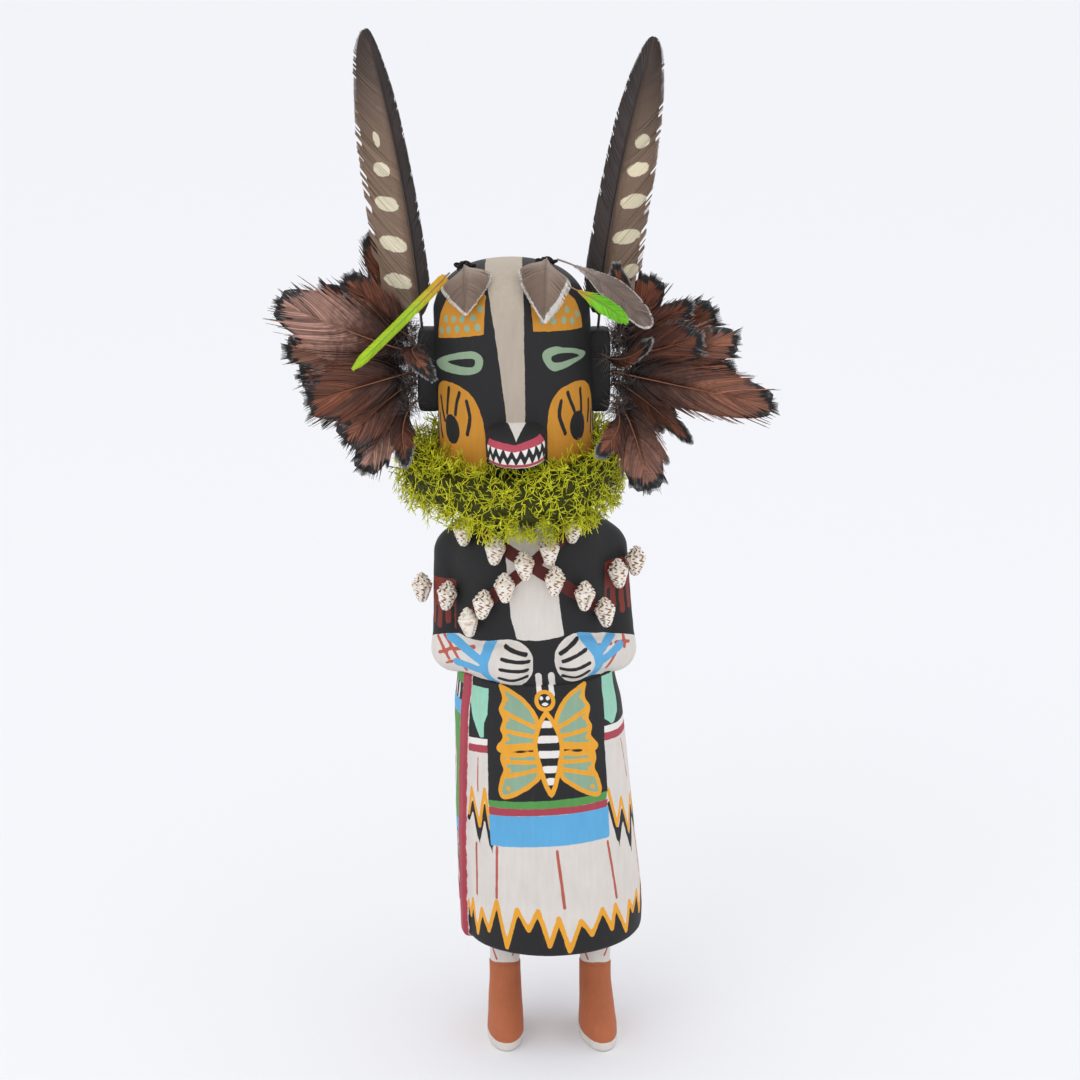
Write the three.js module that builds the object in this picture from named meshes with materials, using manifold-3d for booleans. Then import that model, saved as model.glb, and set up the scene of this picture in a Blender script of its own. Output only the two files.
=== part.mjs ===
// A carved and painted kachina doll of one piece of cottonwood root, with a separate snout and
// ears, a lichen ruff, feathers on the ears and forehead, and small shells on chest and arms.
// Millimetres. The doll faces -Y, its own right side is toward -X, and +Z is up.

import * as THREE from 'three';
import { mergeVertices } from 'three/addons/utils/BufferGeometryUtils.js';
import Module from 'manifold-3d';

const wasm = await Module();
wasm.setup();

const GAP = 0.3; // between two pieces that touch

// ---------------------------------------------------------------- driving sizes

// Stations of the carving, from the hem up: height, centre x, half width, half depth.
const TORSO = [
  [50, 1.5, 38.6, 35.6],
  [52.5, 1.5, 40.1, 37.1],
  [64, 1.1, 40.4, 37.2],
  [111, -2, 39, 36],
  [160, -5, 36.8, 33.8],
  [176, -6.2, 34.6, 31.8],
  [190, -7.2, 35.6, 31.6],
  [212, -8.1, 37, 31],
  [231, -8.6, 37, 29.6],
  [242, -9, 34, 27],
  [250, -9.8, 28.6, 23.6],
  [257, -10.8, 23.6, 20.6],
  [270, -13, 22.5, 19.5],
];
const HEM = { tilt: 0.03, fade: 60 }; // it rises toward the doll's left, less and less up to fade mm

// The case mask: a drum with a domed top that leans a little toward -X as it goes up.
const MASK_RADIUS = 34.2;
const MASK_FOOT = new THREE.Vector3(-14.5, 0, 262);
const MASK_LEAN = -0.035; // x for each mm of height
const MASK = [
  [0, 31.5],
  [2.2, 33.8],
  [8, MASK_RADIUS],
  [76, MASK_RADIUS],
  [84, 33],
  [91, 29.6],
  [96.5, 23.5],
  [99.8, 15],
  [101.2, 6],
];

// Arms lie along the sides and fold at the elbow over the belly. x is the distance from
// ARM_CENTRE, outward. The left shoulder is rounder and the left hand stops short of the right.
const ARMS = {
  right: {
    side: -1,
    shoulder: new THREE.Vector3(34, 1, 231),
    elbow: new THREE.Vector3(35, -2.5, 186.5),
    wrist: new THREE.Vector3(15.5, -25.5, 188.5),
    hand: new THREE.Vector3(9.6, -28.2, 188.4),
  },
  left: {
    side: 1,
    shoulder: new THREE.Vector3(31, 1, 232.5),
    elbow: new THREE.Vector3(35, -2.5, 186.5),
    wrist: new THREE.Vector3(22.5, -22.4, 190.4),
    hand: new THREE.Vector3(18, -25.8, 190.2),
  },
};
const ARM_RADIUS = 10.4;
const FOREARM_RADIUS = 10.2;
const WRIST_RADIUS = 8.7;
const ARM_CENTRE = -7.6;
const HAND_SIZE = new THREE.Vector3(9, 8.6, 10.2);

// A carved sash that hangs down the doll's right side, thicker toward its end.
const SASH = { inner: -2, outer: -62, top: 176, foot: 60, front: -14, back: 17 };
const SASH_THICKNESS = { top: 1.2, foot: 2.7 };

// Boots and legs: height, centre y, half width, half depth.
const BOOT = [
  [0, -10.3, 7.9, 18.9],
  [3.3, -10.3, 8.4, 19.4],
  [6.5, -10, 8.3, 19],
  [11, -8.4, 8, 16.8],
  [16, -5.6, 7.7, 13.4],
  [22, -2.6, 7.4, 10],
  [28, -1, 7.2, 8.2],
  [33, -0.6, 7.2, 7.6],
  [34, -0.5, 6.8, 7.2],
  [60, 0, 7.2, 7.4],
];
const LEGS = [
  { x: -21, splay: 0.032 },
  { x: 20.4, splay: 0.128 },
];

// The snout: a short drum glued to the mask. Its top slopes down to the front about the line level.
const SNOUT = { x: -15.1, y: -36, halfWidth: 13.2, halfDepth: 14, foot: 283.2, slope: 0.3, level: -38 };
const SNOUT_PROFILE = [
  [0, 0.795],
  [2.2, 0.962],
  [9.5, 1],
  [12.4, 0.93],
  [14.6, 0.72],
  [15.6, 0.4],
];

// The wooden ear tabs at the sides of the mask, which carry the feathers.
const EAR = { reach: 42.4, thickness: 12.6, foot: 295, top: 332, y: 5, root: 28 };

// The lichen ruff around the foot of the mask.
const RUFF = { x: -17.6, z: 267, radius: 38, halfWidth: 14.4, halfHeight: 16, tilt: 0.05, rise: 0.05 };
const RUFF_THIN = { most: 4.4, start: 0.2, lift: 0.5 }; // thinner and higher at the foot toward the doll's right
const RUFF_LUMPS = { height: 1, around: 9, swell: 4, over: 3, upright: 0.8 };

// ---------------------------------------------------------------- materials

const material = (color, roughness = 0.85, metalness = 0) =>
  new THREE.MeshStandardMaterial({ color, roughness, metalness });

const finishes = {
  figure: material(0xd9cbb8, 0.8),
  snout: material(0x2b2a2b, 0.7),
  ear: material(0x1b1a1b, 0.8),
  ruff: material(0x9aa81e, 0.95),
  rust: material(0x6b3a28, 0.9),
  wing: material(0x4a3a33, 0.85),
  grey: material(0x8f827a, 0.85),
  green: material(0x9ccc1f, 0.8),
  cord: material(0x141414, 0.9),
  shell: material(0xd8c3a8, 0.45),
};

// ---------------------------------------------------------------- helpers

/** A closed geometry as a solid, with shared vertices merged and empty faces dropped. */
function solid(geometry) {
  const bare = geometry.clone();
  bare.deleteAttribute('normal');
  bare.deleteAttribute('uv');
  const merged = mergeVertices(bare, 1e-4);
  const index = merged.index.array;
  const faces = [];
  for (let i = 0; i < index.length; i += 3) {
    const [a, b, c] = index.slice(i, i + 3);
    if (a !== b && b !== c && c !== a) faces.push(a, b, c);
  }
  const vertProperties = new Float32Array(merged.attributes.position.array);
  const triVerts = new Uint32Array(faces);
  return new wasm.Manifold(new wasm.Mesh({ numProp: 3, vertProperties, triVerts }));
}

/** A solid back as a geometry with flat facets. */
function geometryOf(body) {
  const mesh = body.getMesh();
  const geometry = new THREE.BufferGeometry();
  geometry.setAttribute('position', new THREE.BufferAttribute(new Float32Array(mesh.vertProperties), 3));
  geometry.setIndex(new THREE.BufferAttribute(new Uint32Array(mesh.triVerts), 1));
  geometry.computeVertexNormals();
  return geometry;
}

/** Moves every vertex of a geometry with a function that changes the vector it is given. */
function reshape(geometry, change) {
  const position = geometry.attributes.position;
  const point = new THREE.Vector3();
  for (let i = 0; i < position.count; i += 1) {
    point.fromBufferAttribute(position, i);
    change(point);
    position.setXYZ(i, point.x, point.y, point.z);
  }
  geometry.computeVertexNormals();
  return geometry;
}

/** A turned body of unit radius, upright along +Z, with one ring of vertices at each height. */
function drum(heights, sides, radii = heights.map(() => 1)) {
  const profile = heights.map((height, i) => new THREE.Vector2(radii[i], height));
  profile.unshift(new THREE.Vector2(0, heights[0]));
  profile.push(new THREE.Vector2(0, heights.at(-1)));
  return new THREE.LatheGeometry(profile, sides).rotateX(Math.PI / 2);
}

/** Values at a height, on a straight line between two neighbouring stations, [height, ...values]. */
function between(stations, height) {
  const above = stations.findIndex(([z]) => z > height);
  const next = above < 0 ? stations.length - 1 : Math.max(above, 1);
  const [low, high] = [stations[next - 1], stations[next]];
  const share = THREE.MathUtils.clamp((height - low[0]) / (high[0] - low[0]), 0, 1);
  return low.slice(1).map((value, i) => value + (high[i + 1] - value) * share);
}

/** A capsule with different end radii, from one point to another. */
function capsule(from, to, startRadius, endRadius, sides = 12) {
  const axis = new THREE.Vector3().subVectors(to, from);
  const length = axis.length();
  const arcs = [0.3, 0.65, 1].map((share) => (share * Math.PI) / 2);
  const start = arcs.map((a) => new THREE.Vector2(startRadius * Math.sin(a), -startRadius * Math.cos(a)));
  const end = arcs
    .map((a) => new THREE.Vector2(endRadius * Math.sin(a), length + endRadius * Math.cos(a)))
    .reverse();
  const [foot, top] = [new THREE.Vector2(0, -startRadius), new THREE.Vector2(0, length + endRadius)];
  const profile = [foot, ...start, ...end, top];
  const geometry = new THREE.LatheGeometry(profile, sides);
  const turn = new THREE.Quaternion().setFromUnitVectors(new THREE.Vector3(0, 1, 0), axis.normalize());
  return geometry.applyQuaternion(turn).translate(from.x, from.y, from.z);
}

const unionOf = (bodies) => bodies.reduce((whole, body) => whole.add(body));

// ---------------------------------------------------------------- the carved figure

/** The body from hem to neck, grown by a margin that may change with height. */
function torso(marginAt = () => 0) {
  const heights = TORSO.map(([z]) => z);
  return reshape(drum(heights, 30), (p) => {
    const [centre, halfWidth, halfDepth] = between(TORSO, p.z);
    const margin = marginAt(p.z);
    const hem = Math.max(0, 1 - (p.z - TORSO[0][0]) / HEM.fade);
    p.set(centre + p.x * (halfWidth + margin), p.y * (halfDepth + margin), p.z);
    p.z += HEM.tilt * p.x * hem;
  });
}

/** The sash: the torso grown a little, kept only where the sash hangs. */
function sash() {
  const { inner, outer, top, foot, front, back } = SASH;
  const thickness = SASH_THICKNESS;
  const grown = torso((z) => THREE.MathUtils.mapLinear(z, foot, top, thickness.foot, thickness.top));
  const room = new THREE.BoxGeometry(inner - outer, back - front, top - foot);
  room.translate((inner + outer) / 2, (front + back) / 2, (top + foot) / 2);
  return solid(grown).intersect(solid(room));
}

/** The mask, grown by a margin where another piece is cut to fit around it. */
function mask(margin = 0) {
  const heights = MASK.map(([z]) => z);
  const radii = MASK.map(([, radius]) => radius + margin);
  heights[0] -= margin;
  return reshape(drum(heights, 30, radii), (p) => {
    p.set(MASK_FOOT.x + MASK_LEAN * p.z + p.x, MASK_FOOT.y + p.y, MASK_FOOT.z + p.z);
  });
}

/** One folded arm with its hand. side is -1 for the doll's right arm and 1 for its left. */
function arm({ side, shoulder, elbow, wrist, hand }) {
  const place = (point) => new THREE.Vector3(ARM_CENTRE + side * point.x, point.y, point.z);
  const fist = new THREE.SphereGeometry(1, 12, 7);
  fist.scale(HAND_SIZE.x, HAND_SIZE.y, HAND_SIZE.z);
  fist.translate(...place(hand).toArray());
  return unionOf([
    solid(capsule(place(shoulder), place(elbow), ARM_RADIUS, ARM_RADIUS)),
    solid(capsule(place(elbow), place(wrist), FOREARM_RADIUS, WRIST_RADIUS)),
    solid(fist),
  ]);
}

/** One leg with its boot, whose toe turns out by the splay. */
function legAndBoot({ x, splay }) {
  const heights = BOOT.map(([z]) => z);
  return reshape(drum(heights, 16), (p) => {
    const [centre, halfWidth, halfDepth] = between(BOOT, p.z);
    const y = centre + p.y * halfDepth;
    p.set(x + p.x * halfWidth - y * splay, y, p.z);
  });
}

/** Everything that is cut from one root: body, sash, mask, arms, legs and boots. */
function carvedFigure() {
  return unionOf([
    solid(torso()),
    sash(),
    solid(mask()),
    ...Object.values(ARMS).map(arm),
    ...LEGS.map((leg) => solid(legAndBoot(leg))),
  ]);
}

// ---------------------------------------------------------------- snout, ears and ruff

/** The snout, grown by a margin where another piece is cut to fit around it. */
function snout(margin = 0) {
  const heights = SNOUT_PROFILE.map(([z]) => z);
  const radii = SNOUT_PROFILE.map(([, share]) => share);
  return reshape(drum(heights, 20, radii), (p) => {
    const lift = p.z / heights.at(-1);
    const front = SNOUT.y + p.y * (SNOUT.halfDepth + margin);
    const z = SNOUT.foot + p.z + (front - SNOUT.level) * SNOUT.slope * lift + margin * (lift > 0 ? 1 : -1);
    p.set(SNOUT.x + p.x * (SNOUT.halfWidth + margin), front, z);
  });
}

/** One ear tab, cut to the round of the mask. side is -1 for the doll's right and 1 for its left. */
function ear(side) {
  const centre = MASK_FOOT.x + MASK_LEAN * ((EAR.foot + EAR.top) / 2 - MASK_FOOT.z);
  const width = EAR.reach - EAR.root;
  const height = EAR.top - EAR.foot;
  const block = new THREE.BoxGeometry(width, EAR.thickness, height);
  block.translate(centre + side * (EAR.root + width / 2), EAR.y, EAR.foot + height / 2);
  return solid(block).subtract(solid(mask(GAP)));
}

/** A lumpy ring of lichen, closed up against the neck and the mask. */
function ruff() {
  const ring = new THREE.TorusGeometry(RUFF.radius, 1, 11, 34);
  reshape(ring, (p) => {
    const around = Math.atan2(p.y, p.x);
    const out = Math.hypot(p.x, p.y) - RUFF.radius;
    const swell = Math.cos(around * RUFF_LUMPS.swell + p.z * RUFF_LUMPS.over);
    const lumps = RUFF_LUMPS.height * Math.sin(around * RUFF_LUMPS.around) * swell;
    const reach = RUFF.radius + out * (RUFF.halfWidth + lumps);
    const x = reach * Math.cos(around);
    const y = reach * Math.sin(around);
    const thin = RUFF_THIN.most * Math.max(0, RUFF_THIN.start - Math.cos(around));
    const middle = RUFF.z + RUFF.tilt * y + RUFF.rise * Math.max(x, 0) + RUFF_THIN.lift * thin;
    const z = middle + p.z * (RUFF.halfHeight - thin + RUFF_LUMPS.upright * lumps);
    p.set(RUFF.x + x, y, z);
  });
  const room = [solid(mask(GAP)), solid(snout(GAP)), neckRoom(), ...chestShells(GAP).map(solid)];
  return solid(ring).subtract(unionOf(room));
}

/** The room that the neck and shoulders take, a little larger than they are. */
function neckRoom() {
  const stations = TORSO.slice(-5);
  const heights = stations.map(([z]) => z);
  return solid(
    reshape(drum(heights, 32), (p) => {
      const [centre, halfWidth, halfDepth] = between(stations, p.z);
      p.set(centre + p.x * (halfWidth + GAP), p.y * (halfDepth + GAP), p.z + GAP);
    }),
  );
}

// ---------------------------------------------------------------- feathers

/**
 * A feather as a thin closed plate along a bent shaft.
 * left and right give the half widths of the two vanes at a share of the length, cup is how far
 * the edges fall behind the shaft, and face is the way that its front side looks.
 */
function feather({ base, bend, tip, left, right = left, cup = 1.5, thickness = 0.6, steps = 6, face }) {
  const shaft = new THREE.QuadraticBezierCurve3(base, bend, tip);
  const plate = new THREE.BoxGeometry(2, 1, 1, 2, 1, steps);
  return reshape(plate, (p) => {
    const share = 1 - (0.5 - p.z) ** 1.5;
    const along = shaft.getTangent(share);
    const across = new THREE.Vector3().crossVectors(along, face).normalize();
    const front = new THREE.Vector3().crossVectors(across, along).normalize();
    const out = p.x * (p.x < 0 ? left(share) : right(share));
    const fall = cup * p.x * p.x * Math.sin(Math.PI * Math.min(share + 0.1, 1));
    const forward = -p.y * thickness - fall;
    p.copy(shaft.getPoint(share)).addScaledVector(across, out).addScaledVector(front, forward);
  });
}

const QUILL = 0.55; // half width of the bare quill at the base

/** Half width of a body feather: a short quill, a widening vane and a broad round tip. */
const bodyVane = (halfWidth, roundness = 0.3) => (share) => {
  const opening = THREE.MathUtils.smoothstep(share, 0.13, 0.62);
  const toTip = Math.max(0, (share - (1 - roundness)) / roundness);
  return QUILL + (halfWidth - QUILL) * opening * Math.sqrt(1 - 0.92 * toTip ** 2.2);
};

/** Half width of a long wing feather's vane, which narrows to a point. */
const wingVane = (halfWidth, point = 0.35) => (share) => {
  const opening = THREE.MathUtils.smoothstep(share, 0, 0.12);
  const toTip = Math.max(0, (share - (1 - point)) / point);
  const taper = (1 - 0.22 * share) * Math.sqrt(Math.max(0, 1 - toTip ** 1.7));
  return QUILL + (halfWidth - QUILL) * opening * taper;
};

/** Half width of a short covert, broadest near its root and ending in a blunt point. */
const covertVane = (halfWidth) => (share) => {
  const opening = THREE.MathUtils.smoothstep(share, 0, 0.4);
  const toTip = Math.max(0, (share - 0.4) / 0.6);
  return QUILL + (halfWidth - QUILL) * opening * Math.sqrt(Math.max(0, 1 - toTip ** 1.6));
};

const at = (x, y, z) => new THREE.Vector3(x, y, z);

// A bunch of feathers leaves the outer face of an ear in a fan. Each feather has a depth of its
// own, from -1 in front to 1 behind: y is spread by it at the root, at the turn and at the tip.
const BUNCH = { top: 330, foot: 300, turnOut: 9, turnLift: 0.25 };
const DEPTH = {
  root: (depth) => EAR.y + 4.3 * depth,
  turn: (depth) => 2 + 11 * depth,
  tip: (depth) => -4 + 17 * depth,
};

// Feathers from the top of the fan down: tip x and z, half width, depth, roundness, and how far
// the tip hangs forward of its place in the fan.
const BUNCH_RIGHT = [
  { tip: [-80, 374], halfWidth: 9, depth: 0.82, roundness: 0.5 },
  { tip: [-90, 359], halfWidth: 11, depth: -0.05, roundness: 0.4 },
  { tip: [-103, 349], halfWidth: 12, depth: 0.45 },
  { tip: [-120.5, 349], halfWidth: 15.5, depth: -0.5 },
  { tip: [-118, 325], halfWidth: 12, depth: 0.12 },
  { tip: [-113, 309], halfWidth: 12, depth: 0.64 },
  { tip: [-108, 304], halfWidth: 15, depth: -0.84 },
  { tip: [-103, 294], halfWidth: 11, depth: 0.27 },
  { tip: [-92, 283], halfWidth: 13, depth: -0.35 },
  { tip: [-88, 282], halfWidth: 11, depth: 1 },
  { tip: [-83.5, 268], halfWidth: 10.5, depth: -0.2 },
  { tip: [-62, 280], halfWidth: 6, depth: -1, roundness: 0.6, forward: 15 },
];
const BUNCH_LEFT = [
  { tip: [27, 366], halfWidth: 6, depth: -0.45, roundness: 0.5 },
  { tip: [46, 356], halfWidth: 11, depth: 0.64, roundness: 0.4 },
  { tip: [63, 345], halfWidth: 8, depth: 0.3, roundness: 0.5 },
  { tip: [74, 339], halfWidth: 12, depth: 0.82 },
  { tip: [67, 332], halfWidth: 12.5, depth: -0.3 },
  { tip: [83, 330], halfWidth: 12, depth: -0.1 },
  { tip: [98.5, 303], halfWidth: 13, depth: -0.86 },
  { tip: [84, 309], halfWidth: 12, depth: 0.45 },
  { tip: [63, 281], halfWidth: 6, depth: 0.12, roundness: 0.8 },
  { tip: [54, 284], halfWidth: 11, depth: 1 },
  { tip: [43, 267], halfWidth: 12, depth: -0.9, forward: 13 },
  { tip: [19, 288], halfWidth: 5.5, depth: -1.4, roundness: 0.5, forward: 19 },
];

/** The feathers of one ear, spread evenly down its outer face. */
function bunch(side, rows) {
  const middle = (BUNCH.top + BUNCH.foot) / 2;
  const face = MASK_FOOT.x + MASK_LEAN * (middle - MASK_FOOT.z) + side * (EAR.reach + 2 * GAP);
  return rows.map(({ tip, halfWidth, depth, roundness = 0.3, forward = 0 }, i) => {
    const height = THREE.MathUtils.lerp(BUNCH.top, BUNCH.foot, i / (rows.length - 1));
    const turned = height + (height - middle) * BUNCH.turnLift;
    return feather({
      base: at(face, DEPTH.root(depth), height),
      bend: at(face + side * BUNCH.turnOut, DEPTH.turn(depth) - forward / 2, turned),
      tip: at(tip[0], DEPTH.tip(depth) - forward, tip[1]),
      left: bodyVane(halfWidth, roundness),
      cup: 1.2,
      face: at(0, -1, 0.1),
    });
  });
}

const WING_FEATHERS = {
  wing_feather_right: {
    base: at(-56.6, 5, EAR.top + GAP),
    bend: at(-68, 3, 400),
    tip: at(-79.4, 6, 464),
    left: wingVane(16.5, 0.45),
    right: wingVane(8, 0.3),
    steps: 10,
    face: at(0, -1, 0),
  },
  wing_feather_left: {
    base: at(20.6, 5, EAR.top + GAP),
    bend: at(26, 3, 396),
    tip: at(44, 6, 460.5),
    left: wingVane(8.6, 0.3),
    right: wingVane(17, 0.45),
    steps: 10,
    face: at(0, -1, 0),
  },
};

// A short curled feather on the front face of each ear.
const EAR_FRONT = EAR.y - EAR.thickness / 2 - GAP;
const CURLED_FEATHERS = {
  curled_feather_right: {
    base: at(-55, EAR_FRONT, 323),
    bend: at(-68, -21, 335),
    tip: at(-50, -29, 317),
    left: bodyVane(4.5, 0.4),
    cup: 0.6,
    face: at(0.3, -0.6, 0.75),
  },
  curled_feather_left: {
    base: at(22, EAR_FRONT, 322),
    bend: at(31, -21, 320),
    tip: at(44, -27, 335),
    left: bodyVane(6, 0.4),
    cup: 0.6,
    face: at(-0.3, -0.5, 0.8),
  },
};

// Feathers that are tied to the crown and fall forward over the forehead.
const FOREHEAD_FEATHERS = {
  forehead_covert_right: {
    base: at(-37.6, -7.8, 363.4),
    bend: at(-37.2, -24, 362),
    tip: at(-36.6, -34.5, 347.8),
    left: covertVane(11.6),
    cup: 0.5,
    face: at(-0.3, -0.6, 0.74),
    finish: finishes.grey,
  },
  forehead_green_right: {
    base: at(-44, -12, 361),
    bend: at(-60, -26, 347),
    tip: at(-85.6, -33, 323.3),
    left: () => 2.3,
    cup: 0.2,
    face: at(0, -1, 0.3),
    finish: finishes.green,
  },
  forehead_covert_left: {
    base: at(-2, -6, 366),
    bend: at(-2.4, -26, 364.5),
    tip: at(-2.8, -37, 345),
    left: covertVane(12),
    cup: 0.5,
    face: at(0.3, -0.6, 0.74),
    finish: finishes.grey,
  },
  forehead_grey_left: {
    base: at(2.6, -4, 365),
    bend: at(25, -16, 361),
    tip: at(42.4, -30, 341),
    left: bodyVane(5.8, 0.35),
    cup: 0.4,
    face: at(0.1, -0.75, 0.6),
    finish: finishes.grey,
  },
  forehead_green_left: {
    base: at(7, -27, 359),
    bend: at(20, -32, 354),
    tip: at(33, -34, 344.5),
    left: bodyVane(4.2, 0.7),
    cup: 0.2,
    face: at(0.1, -1, 0.3),
    finish: finishes.green,
  },
};

// ---------------------------------------------------------------- knots and shells

// Where the two knots sit on the crown, x and y.
const KNOTS = { cord_knot_right: [-37.4, -5], cord_knot_left: [-2, -3] };

/** Height of the dome of the mask above a place in plan. */
function domeHeight(x, y) {
  const top = MASK_FOOT.x + MASK_LEAN * MASK.at(-1)[0];
  const away = Math.hypot(x - top, y);
  const outer = MASK.findLastIndex(([, radius]) => radius > away);
  const [low, high] = [MASK[outer], MASK[outer + 1]];
  return MASK_FOOT.z + low[0] + ((low[1] - away) / (low[1] - high[1])) * (high[0] - low[0]);
}

const KNOT_RADIUS = 2.2;
const LOOP = { radius: 1.7, reach: 3, squash: 0.8 };

/** A tied bow of black cord on the dome: a knot with two small loops. */
function knot(x, y) {
  const ball = (radius, offset, squash) => {
    const sphere = new THREE.SphereGeometry(radius, 8, 6);
    return solid(sphere.scale(1.3, 1, squash).translate(x + offset, y, 0));
  };
  const loops = [-LOOP.reach, LOOP.reach].map((offset) => ball(LOOP.radius, offset, LOOP.squash));
  const bow = unionOf([ball(KNOT_RADIUS, 0, 1), ...loops]);
  return bow.translate([0, 0, domeHeight(x, y) + KNOT_RADIUS + 2 * GAP]);
}

// A small spiral shell, hung by its base with the spire down: height from the point, radius.
const SHELL_RADIUS = 4.6;
const SHELL_PROFILE = [
  [0, 0.6],
  [2.6, 2.3],
  [5.4, 3.6],
  [8.6, SHELL_RADIUS],
  [11.6, 3.9],
  [14, 1.4],
];
const SHELL_LENGTH = SHELL_PROFILE.at(-1)[0];

/** A shell with its middle at a place, leaning by a small angle. */
function shell(place, lean, margin = 0) {
  const stretch = 1 + (2 * margin) / SHELL_LENGTH;
  const heights = SHELL_PROFILE.map(([z]) => (z - SHELL_LENGTH / 2) * stretch);
  const radii = SHELL_PROFILE.map(([, radius]) => radius + margin);
  return drum(heights, 8, radii).rotateY(lean).translate(place.x, place.y, place.z);
}

// The two crossed bandoliers: ends of each row of shells on the chest, x and z, and where the
// last shell hangs, a little inside the end of its row.
const BANDOLIERS = [
  { from: [-34.6, 246], to: [24, 211], last: [20.4, 210], rise: 3, skip: [] },
  { from: [7, 249], to: [-36.4, 207], last: [-33, 206.5], rise: 1, skip: [2] },
];
const SHELLS_PER_ROW = 6;

// No two shells hang alike: the lean of the shell with a given number, in radians.
const LEAN = {
  chest: (i) => 0.12 * Math.sin(i * 2.3),
  arm: (i) => 0.1 * Math.cos(i * 1.7),
};

/** A point over the front of the chest, as far off it as a shell's radius. */
function overChest(x, z) {
  const [centre, halfWidth, halfDepth] = between(TORSO, z);
  const u = THREE.MathUtils.clamp((x - centre) / halfWidth, -0.93, 0.93);
  const front = -Math.sqrt(1 - u * u);
  const normal = at(u / halfWidth, front / halfDepth, 0).normalize();
  return at(centre + u * halfWidth, front * halfDepth, z).addScaledVector(normal, SHELL_RADIUS + 2 * GAP);
}

/** The shells of both bandoliers. */
function chestShells(margin = 0) {
  const places = BANDOLIERS.flatMap(({ from, to, last, rise, skip }) =>
    Array.from({ length: SHELLS_PER_ROW }, (_, i) => i)
      .filter((i) => !skip.includes(i))
      .map((i) => {
        const share = i / (SHELLS_PER_ROW - 1);
        if (share === 1) return overChest(...last);
        const x = THREE.MathUtils.lerp(from[0], to[0], share);
        const z = THREE.MathUtils.lerp(from[1], to[1], share) + rise * Math.sin(Math.PI * share);
        return overChest(x, z);
      }),
  );
  return places.map((place, i) => shell(place, LEAN.chest(i), margin));
}

// The armbands' shells: the arm, height and the angle round the arm from straight ahead.
const ARMBAND_SHELLS = [
  { arm: ARMS.right, z: 215, angle: 16 },
  { arm: ARMS.right, z: 214.5, angle: 84 },
  { arm: ARMS.left, z: 225, angle: 22 },
  { arm: ARMS.left, z: 228.5, angle: 62 },
];

/** The shells of both armbands. */
function armShells() {
  const reach = ARM_RADIUS + SHELL_RADIUS + 2 * GAP;
  return ARMBAND_SHELLS.map(({ arm: { side, shoulder, elbow }, z, angle }, i) => {
    const turn = THREE.MathUtils.degToRad(angle);
    const axis = shoulder.clone().lerp(elbow, (shoulder.z - z) / (shoulder.z - elbow.z));
    const x = ARM_CENTRE + side * (axis.x + reach * Math.sin(turn));
    return shell(at(x, axis.y - reach * Math.cos(turn), z), LEAN.arm(i));
  });
}

// ---------------------------------------------------------------- assembly

const doll = new THREE.Group();

function add(name, geometry, finish) {
  const mesh = new THREE.Mesh(geometry, finish);
  mesh.name = name;
  doll.add(mesh);
}

const figure = carvedFigure();
add('carved_figure', geometryOf(figure), finishes.figure);
add('snout', geometryOf(solid(snout()).subtract(solid(mask(GAP)))), finishes.snout);
add('ear_right', geometryOf(ear(-1)), finishes.ear);
add('ear_left', geometryOf(ear(1)), finishes.ear);
add('lichen_ruff', geometryOf(ruff()), finishes.ruff);

for (const [name, shape] of Object.entries(WING_FEATHERS)) add(name, feather(shape), finishes.wing);
for (const [name, side, rows] of [['right', -1, BUNCH_RIGHT], ['left', 1, BUNCH_LEFT]]) {
  bunch(side, rows).forEach((geometry, i) => {
    add(`bunch_feather_${name}_${i + 1}`, geometry, finishes.rust);
  });
}
for (const [name, shape] of Object.entries(CURLED_FEATHERS)) add(name, feather(shape), finishes.rust);
for (const [name, [x, y]] of Object.entries(KNOTS)) add(name, geometryOf(knot(x, y)), finishes.cord);
for (const [name, { finish, ...shape }] of Object.entries(FOREHEAD_FEATHERS)) {
  add(name, feather(shape), finish);
}
chestShells().forEach((geometry, i) => add(`bandolier_shell_${i + 1}`, geometry, finishes.shell));
armShells().forEach((geometry, i) => add(`armband_shell_${i + 1}`, geometry, finishes.shell));

// The origin is the bottom centre of the whole doll, on the surface that it stands on.
const extent = new THREE.Box3().setFromObject(doll);
const centre = extent.getCenter(new THREE.Vector3());
doll.position.set(-centre.x, -centre.y, -extent.min.z);

const part = new THREE.Group();
part.add(doll);

export default part;
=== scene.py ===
"""A carved and painted kachina doll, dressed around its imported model.

The doll is one piece of cottonwood root with a case mask, a glued snout, ear tabs, a lichen ruff,
two bunches of feathers, forehead feathers and small shells. Sizes here are millimetres in the
carver's frame, whose upright axis runs near the middle of the doll: -Y is its front, its own right
side is toward -X, and +Z is up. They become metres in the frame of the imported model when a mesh
is made.
"""

from __future__ import annotations

import logging
import math
from dataclasses import dataclass
from enum import Enum
from typing import Callable, Iterable, Sequence

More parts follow.
